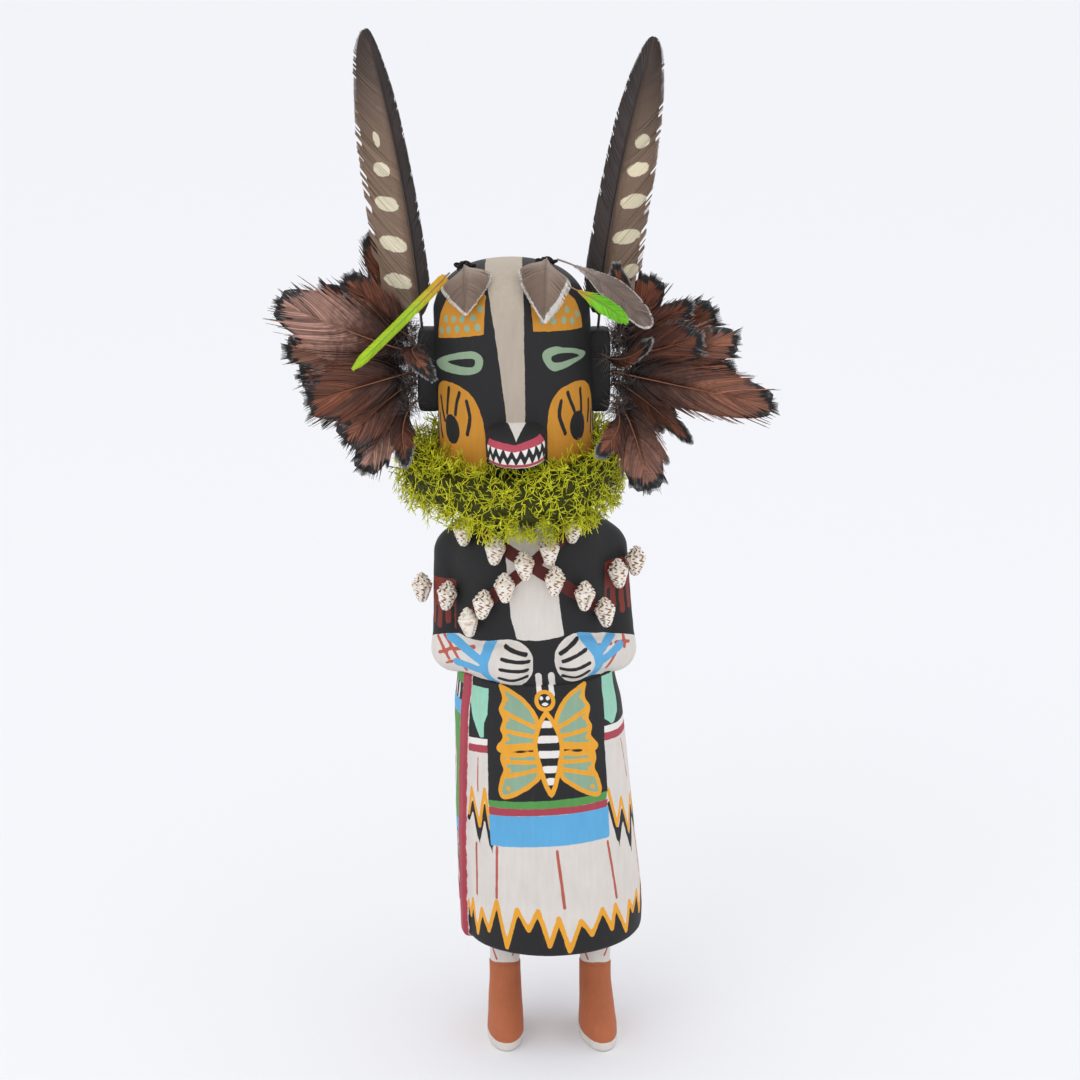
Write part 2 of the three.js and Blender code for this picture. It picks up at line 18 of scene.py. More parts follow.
import bpy
import numpy as np
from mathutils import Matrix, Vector


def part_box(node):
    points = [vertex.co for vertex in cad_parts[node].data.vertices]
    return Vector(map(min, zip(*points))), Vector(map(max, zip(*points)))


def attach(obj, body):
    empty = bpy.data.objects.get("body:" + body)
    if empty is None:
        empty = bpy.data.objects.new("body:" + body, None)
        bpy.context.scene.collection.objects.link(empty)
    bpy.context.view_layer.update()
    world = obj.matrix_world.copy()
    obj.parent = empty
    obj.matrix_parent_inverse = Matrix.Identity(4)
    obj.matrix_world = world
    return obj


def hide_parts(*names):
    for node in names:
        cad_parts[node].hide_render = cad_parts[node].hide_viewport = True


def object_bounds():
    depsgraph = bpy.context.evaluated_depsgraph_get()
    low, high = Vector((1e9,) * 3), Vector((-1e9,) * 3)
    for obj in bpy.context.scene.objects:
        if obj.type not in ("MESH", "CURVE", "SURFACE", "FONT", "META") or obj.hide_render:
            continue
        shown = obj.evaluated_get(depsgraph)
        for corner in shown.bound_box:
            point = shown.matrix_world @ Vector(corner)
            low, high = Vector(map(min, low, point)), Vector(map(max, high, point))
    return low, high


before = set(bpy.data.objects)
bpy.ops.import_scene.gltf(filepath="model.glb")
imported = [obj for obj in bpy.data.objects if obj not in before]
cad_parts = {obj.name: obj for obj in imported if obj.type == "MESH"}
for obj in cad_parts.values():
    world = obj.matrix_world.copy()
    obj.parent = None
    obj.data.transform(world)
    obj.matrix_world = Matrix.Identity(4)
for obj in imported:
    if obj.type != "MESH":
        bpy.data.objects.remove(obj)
CAD_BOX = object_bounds()

log = logging.getLogger("kachina")
Array = np.ndarray
Point = tuple[float, ...]
Colour = tuple[float, float, float]

MM = 0.001
SEED = 11


# ---------------------------------------------------------------- the carver's frame


@dataclass(frozen=True)
class CarverFrame:
    """Where the carver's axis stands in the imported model.

    Args:
        snout_x: Centre of the snout across, in the carver's frame.
        ear_y: Centre of the ears in depth, in the carver's frame.
    """

    snout_x: float = -15.1
    ear_y: float = 5.0

    def origin(self) -> Array:
        """Returns the place of the carver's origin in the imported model, in metres."""
        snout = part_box("snout")
        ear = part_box("ear_right")
        across = (snout[0].x + snout[1].x) / 2 - self.snout_x * MM
        depth = (ear[0].y + ear[1].y) / 2 - self.ear_y * MM
        return np.array([across, depth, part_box("carved_figure")[0].z])


ORIGIN = CarverFrame().origin()


# ---------------------------------------------------------------- numbers


def ease(low: float, high: float, value: Array | float) -> Array:
    """A smooth step.

    Args:
        low: Where it starts to rise.
        high: Where it is one.
        value: The places to read it at.

    Returns:
        Shares from 0 to 1.
    """
    share = np.clip((np.asarray(value, float) - low) / (high - low), 0, 1)
    return share * share * (3 - 2 * share)


def unit(vectors: Array) -> Array:
    """Vectors scaled to unit length along their last axis."""
    return vectors / np.maximum(np.linalg.norm(vectors, axis=-1, keepdims=True), 1e-9)


def smooth_union(a: Array, b: Array, blend: Array | float) -> Array:
    """Joins two distance fields with a fillet.

    Args:
        a: The first field.
        b: The second field.
        blend: How wide the fillet is, in mm.

    Returns:
        The joined field.
    """
    share = np.clip(0.5 + 0.5 * (b - a) / blend, 0, 1)
    return b + (a - b) * share - blend * share * (1 - share)


def unevenness(points: Array, size: float, seed: float = 0.0) -> Array:
    """Slow waves, about -1 to 1, as a knife leaves them in soft wood.

    Args:
        points: Places in mm, one a row.
        size: Length of the longest wave in mm.
        seed: Changes the pattern.

    Returns:
        One value for each place.
    """
    ways = np.array([[1, 0.3, 0.5], [-0.4, 1, 0.7], [0.6, -0.8, 1], [1.7, 1.1, -1.3], [-1.9, 0.7, 2.1]])
    phase = seed + np.array([0.0, 1.9, 4.1, 2.7, 5.3])
    waves = np.sin(points @ ways.T * (2 * math.pi / size) + phase)
    return waves @ np.array([0.3, 0.3, 0.2, 0.12, 0.08])


@dataclass(frozen=True)
class Stations:
    """Rows of height and values, joined by a smooth curve that never overshoots."""

    rows: tuple[Point, ...]

    def at(self, height: Array) -> list[Array]:
        """Reads every value at some heights.

        Args:
            height: Heights in mm.

        Returns:
            One array for each value of a row.
        """
        table = np.array(self.rows, float)
        z, values = table[:, 0], table[:, 1:]
        steps = np.diff(z)
        slopes = np.diff(values, axis=0) / steps[:, None]
        product = slopes[:-1] * slopes[1:]
        total = slopes[:-1] + slopes[1:]
        inner = np.where(product > 0, 2 * product / np.where(total == 0, 1, total), 0)
        bends = np.vstack([slopes[:1], inner, slopes[-1:]])
        i = np.clip(np.searchsorted(z, height) - 1, 0, len(steps) - 1)
        t = np.clip((height - z[i]) / steps[i], 0, 1)
        out = []
        for k in range(values.shape[1]):
            start, end = values[i, k], values[i + 1, k]
            leave, arrive = bends[i, k] * steps[i], bends[i + 1, k] * steps[i]
            out.append(
                (2 * t**3 - 3 * t**2 + 1) * start
                + (t**3 - 2 * t**2 + t) * leave
                + (3 * t**2 - 2 * t**3) * end
                + (t**3 - t**2) * arrive
            )
        return out


# ---------------------------------------------------------------- meshes


def store(mesh: bpy.types.Mesh, key: str, values: Array | Sequence[float]) -> None:
    """Stores a value on every vertex of a mesh."""
    layer = mesh.attributes.new(key, "FLOAT", "POINT")
    layer.data.foreach_set("value", np.asarray(values, np.float32).ravel())


def run_tree(
    mesh: bpy.types.Mesh, tree: bpy.types.NodeTree, inputs: dict[str, object]
) -> bpy.types.Mesh:
    """Runs a geometry tree over a mesh, which it uses up.

    Args:
        mesh: What the tree starts from.
        tree: The tree.
        inputs: Values of its inputs, by identifier.

    Returns:
        A plain mesh of what the tree makes.
    """
    holder = bpy.data.objects.new(mesh.name, mesh)
    bpy.context.scene.collection.objects.link(holder)
    modifier = holder.modifiers.new(tree.name, "NODES")
    modifier.node_group = tree
    for key, value in inputs.items():
        modifier[key] = value
    graph = bpy.context.evaluated_depsgraph_get()
    result = bpy.data.meshes.new_from_object(holder.evaluated_get(graph), depsgraph=graph)
    bpy.data.objects.remove(holder)
    bpy.data.meshes.remove(mesh)
    return result


def make_piece(
    name: str,
    points: Array,
    faces: Iterable[Sequence[int]],
    fields: dict[str, Array] | None = None,
) -> bpy.types.Object:
    """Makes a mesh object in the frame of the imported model.

    Args:
        name: Name of the piece.
        points: Vertices in mm in the carver's frame.
        faces: Vertex numbers of each face, counterclockwise from outside.
        fields: Values stored on the vertices, by name.

    Returns:
        The new object, at the origin.
    """
    mesh = bpy.data.meshes.new(name)
    places = np.asarray(points, float) * MM + ORIGIN
    mesh.from_pydata(places.tolist(), [], faces if isinstance(faces, list) else np.asarray(faces).tolist())
    for key, values in (fields or {}).items():
        store(mesh, key, values)
    mesh.polygons.foreach_set("use_smooth", [True] * len(mesh.polygons))
    mesh.update()
    piece = bpy.data.objects.new(name, mesh)
    bpy.context.scene.collection.objects.link(piece)
    return piece


def turns(count: int) -> Array:
    """Angles of so many places all the way round."""
    return np.arange(count) * 2 * math.pi / count


def wrapped(angle: Array) -> Array:
    """Angles brought to within half a turn of zero."""
    return (angle + math.pi) % (2 * math.pi) - math.pi


def spokes(first: Array, second: Array, turn: Array) -> Array:
    """Ways out from each point of a line, turned between two ways across it."""
    return first[:, None] * np.cos(turn)[None, :, None] + second[:, None] * np.sin(turn)[None, :, None]


def grid_faces(rows: int, columns: int, closed: bool = True) -> Array:
    """Quads of a grid of vertices, row by row.

    Args:
        rows: Number of rows of vertices.
        columns: Number of vertices in a row.
        closed: Whether each row runs round to its start.

    Returns:
        Four vertex numbers for each face.
    """
    span = columns if closed else columns - 1
    r, c = np.meshgrid(np.arange(rows - 1), np.arange(span), indexing="ij")
    n = (c + 1) % columns
    quads = np.stack([r * columns + c, r * columns + n, (r + 1) * columns + n, (r + 1) * columns + c], -1)
    return quads.reshape(-1, 4)


def capped(rows: int, columns: int) -> list[list[int]]:
    """Faces of a closed grid with a fan at each end, whose centres are the last two vertices."""
    faces = grid_faces(rows, columns).tolist()
    foot, top = rows * columns, rows * columns + 1
    for c in range(columns):
        n = (c + 1) % columns
        faces.append([foot, n, c])
        last = (rows - 1) * columns
        faces.append([top, last + c, last + n])
    return faces


def finish_piece(piece: bpy.types.Object, slot: str, *nodes: str) -> bpy.types.Object:
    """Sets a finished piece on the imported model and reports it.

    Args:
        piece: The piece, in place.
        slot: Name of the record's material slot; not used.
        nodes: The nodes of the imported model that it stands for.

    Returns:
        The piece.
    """
    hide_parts(*nodes)
    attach(piece, "root")
    log.info("%s: %d faces", piece.name, len(piece.data.polygons))
    return piece


def surface_net(field: Array, low: Array, pitch: float) -> tuple[Array, Array]:
    """A mesh on the zero level of a field on a regular grid.

    Args:
        field: Signed distances, negative inside, indexed by x, y and z.
        low: The grid's lowest corner.
        pitch: The grid's spacing.

    Returns:
        The vertices, and four vertex numbers for each face.
    """
    inside = field < 0
    cells = tuple(n - 1 for n in field.shape)
    total = np.zeros(cells + (3,))
    count = np.zeros(cells)
    spans = [slice(0, -1), slice(1, None)]
    for axis in range(3):
        others = [a for a in range(3) if a != axis]
        for i in (0, 1):
            for j in (0, 1):
                start: list[slice] = [spans[0]] * 3
                start[others[0]], start[others[1]] = spans[i], spans[j]
                end = list(start)
                end[axis] = spans[1]
                a, b = field[tuple(start)], field[tuple(end)]
                cut = (a < 0) != (b < 0)
                share = np.where(cut, a / np.where(a == b, 1, a - b), 0)
                place = np.zeros(3)
                place[others[0]], place[others[1]] = i, j
                for k in range(3):
                    total[..., k] += cut * (share if k == axis else place[k])
                count += cut
    used = count > 0
    number = np.full(cells, -1)
    number[used] = np.arange(used.sum())
    corner = np.argwhere(used)
    points = low + pitch * (corner + total[used] / count[used][:, None])
    faces = []
    for axis in range(3):
        first, second = (axis + 1) % 3, (axis + 2) % 3
        a = [slice(1, -1)] * 3
        a[axis] = slice(0, -1)
        b = list(a)
        b[axis] = slice(1, None)
        start, end = inside[tuple(a)], inside[tuple(b)]
        for rising in (True, False):
            at = np.argwhere(start & ~end if rising else ~start & end)
            at[:, first] += 1
            at[:, second] += 1
            around = []
            for i, j in ((0, 0), (1, 0), (1, 1), (0, 1)):
                cell = at.copy()
                cell[:, first] -= 1 - i
                cell[:, second] -= 1 - j
                around.append(number[tuple(cell.T)])
            faces.append(np.stack(around if rising else around[::-1], -1))
    return points, np.vstack(faces)


def settle(points: Array, distance: Callable[[Array], Array], rounds: int = 3) -> Array:
    """Moves points onto the zero level of a distance function.

    Args:
        points: Places near the surface.
        distance: The signed distance at some places.
        rounds: Number of Newton steps.

    Returns:
        The moved points.
    """
    step = 0.05
    for _ in range(rounds):
        here = distance(points)
        slope = np.stack([distance(points + step * axis) - here for axis in np.eye(3)], -1) / step
        points = points - slope * (here / np.maximum((slope**2).sum(-1), 0.2))[:, None]
    return points


# ---------------------------------------------------------------- drawing on a carved surface


def curved(points: Sequence[Point], pieces: int = 5, closed: bool = False) -> list[Point]:
    """A smooth line through a few points.

    Args:
        points: Places on a chart.
        pieces: Number of straight pieces between two of them.
        closed: Whether the line ends where it starts.

    Returns:
        The points of the smooth line.
    """
    p = np.array(points, float)
    before = np.vstack([p[-1:] if closed else 2 * p[:1] - p[1:2], p])
    full = np.vstack([before, p[:2] if closed else 2 * p[-1:] - p[-2:-1]])
    out = []
    for a, b, c, d in zip(full, full[1:], full[2:], full[3:]):
        for t in np.arange(pieces) / pieces:
            slope, bend, twist = c - a, 2 * a - 5 * b + 4 * c - d, 3 * b - a - 3 * c + d
            out.append(0.5 * (2 * b + slope * t + bend * t**2 + twist * t**3))
    if not closed:
        out.append(p[-1])
    return [tuple(q) for q in out]


FAR = 6.0


@dataclass
class Chart:
    """Flat coordinates over a carved surface, in mm, on which shapes are drawn.

    Every method gives the signed distance from each vertex to the edge of what it draws, which is
    negative inside.
    """

    across: Array
    up: Array

    def _segments(self, points: Sequence[Point]) -> Array:
        """Distance from each vertex to a line of straight segments."""
        nearest = np.full(len(self.across), FAR)
        for (ax, ay), (bx, by) in zip(points, points[1:]):
            near = (
                (self.across > min(ax, bx) - FAR)
                & (self.across < max(ax, bx) + FAR)
                & (self.up > min(ay, by) - FAR)
                & (self.up < max(ay, by) + FAR)
            )
            x, y = self.across[near] - ax, self.up[near] - ay
            dx, dy = bx - ax, by - ay
            share = np.clip((x * dx + y * dy) / max(dx * dx + dy * dy, 1e-9), 0, 1)
            nearest[near] = np.minimum(nearest[near], np.hypot(x - share * dx, y - share * dy))
        return nearest

    def line(self, points: Sequence[Point], width: float) -> Array:
        """A brush line of one width through points."""
        return self._segments(points) - width / 2

    def lines(self, strokes: Iterable[Sequence[Point]], width: float) -> Array:
        """Several brush lines of one width."""
        return np.minimum.reduce([self.line(stroke, width) for stroke in strokes])

    def shape(self, points: Sequence[Point]) -> Array:
        """A filled outline."""
        ring = [*points, points[0]]
        inside = np.zeros(len(self.across), bool)
        for (ax, ay), (bx, by) in zip(ring, ring[1:]):
            if ay != by:
                crosses = (self.up < ay) != (self.up < by)
                inside ^= crosses & (self.across < ax + (self.up - ay) * (bx - ax) / (by - ay))
        edge = self._segments(ring)
        return np.where(inside, -edge, edge)

    def shapes(self, outlines: Iterable[Sequence[Point]]) -> Array:
        """Several filled outlines."""
        return np.minimum.reduce([self.shape(outline) for outline in outlines])

    def dots(self, centres: Iterable[Point], wide: float, high: float | None = None) -> Array:
        """Oval dots of one size."""
        tall = high or wide
        scale = min(wide, tall)
        found = [
            (np.hypot((self.across - x) / wide, (self.up - y) / tall) - 1) * scale for x, y in centres
        ]
        return np.minimum.reduce(found)

    def under(self, points: Sequence[Point]) -> Array:
        """All that lies below a line that runs across the chart."""
        line = np.array(points, float)
        edge = self._segments(points)
        return np.where(self.up < np.interp(self.across, line[:, 0], line[:, 1]), -edge, edge)

    def box(self, left: float, right: float, low: float, high: float) -> Array:
        """A band with straight sides."""
        sides = [left - self.across, self.across - right, low - self.up, self.up - high]
        return np.maximum.reduce(sides)


def both(*fields: Array) -> Array:
    """Where all the fields are."""
    return np.maximum.reduce(fields)


def either(*fields: Array) -> Array:
    """Where any of the fields is."""
    return np.minimum.reduce(fields)


# ---------------------------------------------------------------- shader graphs


def linear(colour: Colour) -> tuple[float, float, float, float]:
    """A colour from 0 to 255 a channel, as light values with full alpha."""
    values = [c / 255 for c in colour]
    return (*[v / 12.92 if v <= 0.04045 else ((v + 0.055) / 1.055) ** 2.4 for v in values], 1.0)


class Socket:
    """An output of a shader or geometry tree that can be used in sums."""

    def __init__(self, graph: "Graph", output: bpy.types.NodeSocket) -> None:
        """Wraps an output of a graph's node."""
        self.graph = graph
        self.output = output

    def _sum(self, operation: str, *values: "Socket | float", clamp: bool = False) -> "Socket":
        """Adds a Math node.

        Args:
            operation: The node's operation.
            values: Its inputs in order.
            clamp: Whether the result is kept between 0 and 1.

        Returns:
            Its result.
        """
        settings = {"operation": operation, "use_clamp": clamp}
        return self.graph.node("ShaderNodeMath", settings, dict(enumerate(values)))

    def __add__(self, other: "Socket | float") -> "Socket":
        """The sum of two values."""
        return self._sum("ADD", self, other)

    __radd__ = __add__

    def __sub__(self, other: "Socket | float") -> "Socket":
        """One value less another."""
        return self._sum("SUBTRACT", self, other)

    def __rsub__(self, other: float) -> "Socket":
        """A number less this value."""
        return self._sum("SUBTRACT", other, self)

    def __mul__(self, other: "Socket | float") -> "Socket":
        """The product of two values."""
        return self._sum("MULTIPLY", self, other)

    __rmul__ = __mul__

    def __truediv__(self, other: "Socket | float") -> "Socket":
        """One value divided by another."""
        return self._sum("DIVIDE", self, other)

    def __abs__(self) -> "Socket":
        """The size of a value."""
        return self._sum("ABSOLUTE", self)

    def clamped(self) -> "Socket":
        """The value kept between 0 and 1."""
        return self._sum("ADD", self, 0.0, clamp=True)

    def wave(self) -> "Socket":
        """The sine of a value."""
        return self._sum("SINE", self)

    def most(self, other: "Socket | float") -> "Socket":
        """The higher of two values."""
        return self._sum("MAXIMUM", self, other)

    def step(self, low: float, high: float) -> "Socket":
        """A smooth step.

        Args:
            low: Where it is 0.
            high: Where it is 1.

        Returns:
            A value from 0 to 1.
        """
        inputs = {"Value": self, "From Min": low, "From Max": high}
        return self.graph.node("ShaderNodeMapRange", {"interpolation_type": "SMOOTHSTEP"}, inputs)


class Graph:
    """A material's node tree, built from sums of sockets."""

    def __init__(self, name: str) -> None:
        """Starts an empty material of this name."""
        self.material = bpy.data.materials.new(name)
        self.material.use_nodes = True
        self.tree = self.material.node_tree
        self.tree.nodes.clear()

    def node(
        self,
        kind: str,
        settings: dict[str, object] | None = None,
        inputs: dict[int | str, object] | None = None,
        output: int | str = 0,
    ) -> Socket:
        """Adds one node.

        Args:
            kind: The node's type.
            settings: Its properties, set before its sockets.
            inputs: Values or sockets for its inputs, by number or name.
            output: Which output to return.

        Returns:
            That output.
        """
        node = self.tree.nodes.new(kind)
        for key, value in (settings or {}).items():
            if key == "stops":
                self._ramp(node.color_ramp, value)
            else:
                setattr(node, key, value)
        for key, value in (inputs or {}).items():
            if isinstance(value, Socket):
                self.tree.links.new(value.output, node.inputs[key])
            else:
                node.inputs[key].default_value = value
        return Socket(self, node.outputs[output])

    @staticmethod
    def _ramp(ramp: bpy.types.ColorRamp, stops: Sequence[tuple[float, Colour]]) -> None:
        """Sets the stops of a colour ramp."""
        while len(ramp.elements) > 1:
            ramp.elements.remove(ramp.elements[0])
        for i, (place, colour) in enumerate(stops):
            element = ramp.elements[0] if i == 0 else ramp.elements.new(place)
            element.position = place
            element.color = linear(colour)

    def place(self) -> Socket:
        """Object coordinates."""
        return self.node("ShaderNodeTexCoord", output="Object")

    def field(self, name: str) -> Socket:
        """A value stored on the mesh."""
        return self.node("ShaderNodeAttribute", {"attribute_name": name}, output="Fac")

    def noise(self, per_metre: float, detail: float = 2.0, stretch: Point = (1, 1, 1)) -> Socket:
        """Noise over the piece.

        Args:
            per_metre: How many blotches there are in a metre.
            detail: Octaves of finer noise.
            stretch: How much each axis is squeezed.

        Returns:
            A value about 0.5.
        """
        place = self.node("ShaderNodeMapping", None, {"Vector": self.place(), "Scale": stretch})
        return self.node("ShaderNodeTexNoise", None, {"Vector": place, "Scale": per_metre, "Detail": detail})

    def mix(self, first: object, second: object, share: Socket | float, blend: str = "MIX") -> Socket:
        """Mixes two colours.

        Args:
            first: A colour or socket.
            second: A colour or socket.
            share: How much of the second one.
            blend: The way of mixing.

        Returns:
            The mixed colour.
        """
        settings = {"data_type": "RGBA", "blend_type": blend, "clamp_factor": True}
        return self.node("ShaderNodeMix", settings, {0: share, 6: first, 7: second}, output=2)

    def grey(self, value: Socket) -> Socket:
        """A value as a grey colour."""
        return self.node("ShaderNodeCombineColor", None, {0: value, 1: value, 2: value})

    def surface(
        self,
        colour: Socket,
        roughness: Socket | float,
        height: Socket | None = None,
        depth: float = 0.2,
        **constants: float,
    ) -> bpy.types.Material:
        """Ends the tree in one surface shader.

        Args:
            colour: Base colour.
            roughness: Roughness.
            height: Relief from 0 to 1, or none.
            depth: Depth of that relief in mm.
            constants: Other values of the shader, with spaces as underscores.

        Returns:
            The material.
        """
        inputs: dict[int | str, object] = {"Base Color": colour, "Roughness": roughness}
        inputs.update({key.replace("_", " "): value for key, value in constants.items()})
        if height is not None:
            relief = {"Height": height, "Distance": depth * MM, "Strength": 1.0}
            inputs["Normal"] = self.node("ShaderNodeBump", None, relief)
        shader = self.node("ShaderNodeBsdfPrincipled", None, inputs)
        self.node_output(shader)
        return self.material

    def node_output(self, shader: Socket) -> None:
        """Connects a shader to the material's output."""
        end = self.tree.nodes.new("ShaderNodeOutputMaterial")
        self.tree.links.new(shader.output, end.inputs["Surface"])


# ---------------------------------------------------------------- finishes


class Paint(Enum):
    """The carver's paints, as they have aged; the mask's darker ochre is painted shade."""

    CREAM = (214, 207, 200)
    BONE = (178, 166, 150)
    BLACK = (29, 29, 30)
    OCHRE = (228, 160, 44)
    # the ochre darkened into painted shade for the mask's brows and cheeks, under the feathers
    MASK_OCHRE = (200, 137, 42)
    SAGE = (138, 168, 142)
    MINT = (146, 203, 178)
    TURQUOISE = (150, 196, 174)
    EYE_GREEN = (140, 163, 134)
    GREEN = (82, 146, 72)
    CRIMSON = (166, 62, 76)
    LIP = (176, 68, 84)
    BLUE = (90, 166, 212)
    RUSSET = (180, 88, 72)
    ARMBAND = (122, 48, 38)
    BANDOLIER = (92, 34, 29)
    TERRACOTTA = (174, 98, 62)
    WHITE = (228, 224, 218)


@dataclass
class Coat:
    """One colour of paint laid over those before it.

    Args:
        paint: The colour.
        edge: Signed distance in mm to its edge, for each vertex.
        wander: How far the brush strays from that edge, in mm.
    """

    paint: Paint
    edge: Array
    wander: float = 0.35


CRISP = 5.0  # how sharply a coat of paint ends


@dataclass(frozen=True)
class PaintedWood:
    """Matte poster paint by hand over a thin ground on soft cottonwood."""

    name: str
    ground: Paint = Paint.CREAM
    wear: float = 0.10

    def dress(self, piece: bpy.types.Object, coats: Sequence[Coat]) -> None:
        """Stores the coats on the piece and paints it with them.

        Args:
            piece: The carved piece.
            coats: The coats in the order in which they are laid on.
        """
        graph = Graph(self.name)
        speckle = graph.noise(2600, 3)
        strokes = graph.noise(420, 3, (1, 1, 0.16))
        blotch = graph.noise(60, 2)
        stray = graph.noise(330, 3) - 0.5
        colour: object = linear(self.ground.value)
        thickness: Socket | float = 0.0
        for i, coat in enumerate(coats):
            key = f"coat_{i + 1:02d}"
            store(piece.data, key, np.clip(coat.edge, -FAR, FAR))
            edge = graph.field(key) + stray * (2 * coat.wander)
            mask = (0.5 - edge * CRISP).clamped()
            colour = graph.mix(colour, linear(coat.paint.value), mask)
            thickness = (mask * (0.35 + 0.02 * i)).most(thickness)
        tone = 0.8 + strokes * 0.2 + blotch * 0.16 + speckle * 0.06
        colour = graph.mix(colour, graph.grey(tone), 1.0, "MULTIPLY")
        bare = (strokes * 0.6 + speckle * 0.4).step(0.62, 0.72) * self.wear
        colour = graph.mix(colour, linear((196, 176, 150)), bare)
        height = thickness * 0.5 + strokes * 0.22 + speckle * 0.12
        piece.data.materials.append(
            graph.surface(colour, 0.52 + speckle * 0.3, height, 0.22, Specular_IOR_Level=0.35)
        )


# ---------------------------------------------------------------- the carved figure

FINE = 0.82  # spacing in mm of the vertices on painted wood
DETAIL = 0.42  # the same on the snout

REACH = 38.0  # radius in mm at which lengths around the kilt are measured
ROUND = 2 * math.pi * REACH
HALF_ROUND = 119.4
SASH_START = ROUND - 74  # where a line around the back has reached the sash
TRUNK = Stations(
    (
        (50, 1.5, 38.6, 35.6),
        (52.5, 1.5, 40.1, 37.1),
        (64, 1.1, 40.4, 37.2),
        (111, -2, 39, 36),
        (160, -5, 36.8, 33.8),
        (176, -6.2, 34.6, 31.8),
        (190, -7.2, 35.6, 31.6),
        (212, -8.1, 37, 31),
        (231, -8.6, 37, 29.6),
        (242, -9, 34, 27),
        (250, -9.8, 28.6, 23.6),
        (257, -10.8, 23.6, 20.6),
        (270, -13, 22.5, 19.5),
    )
)


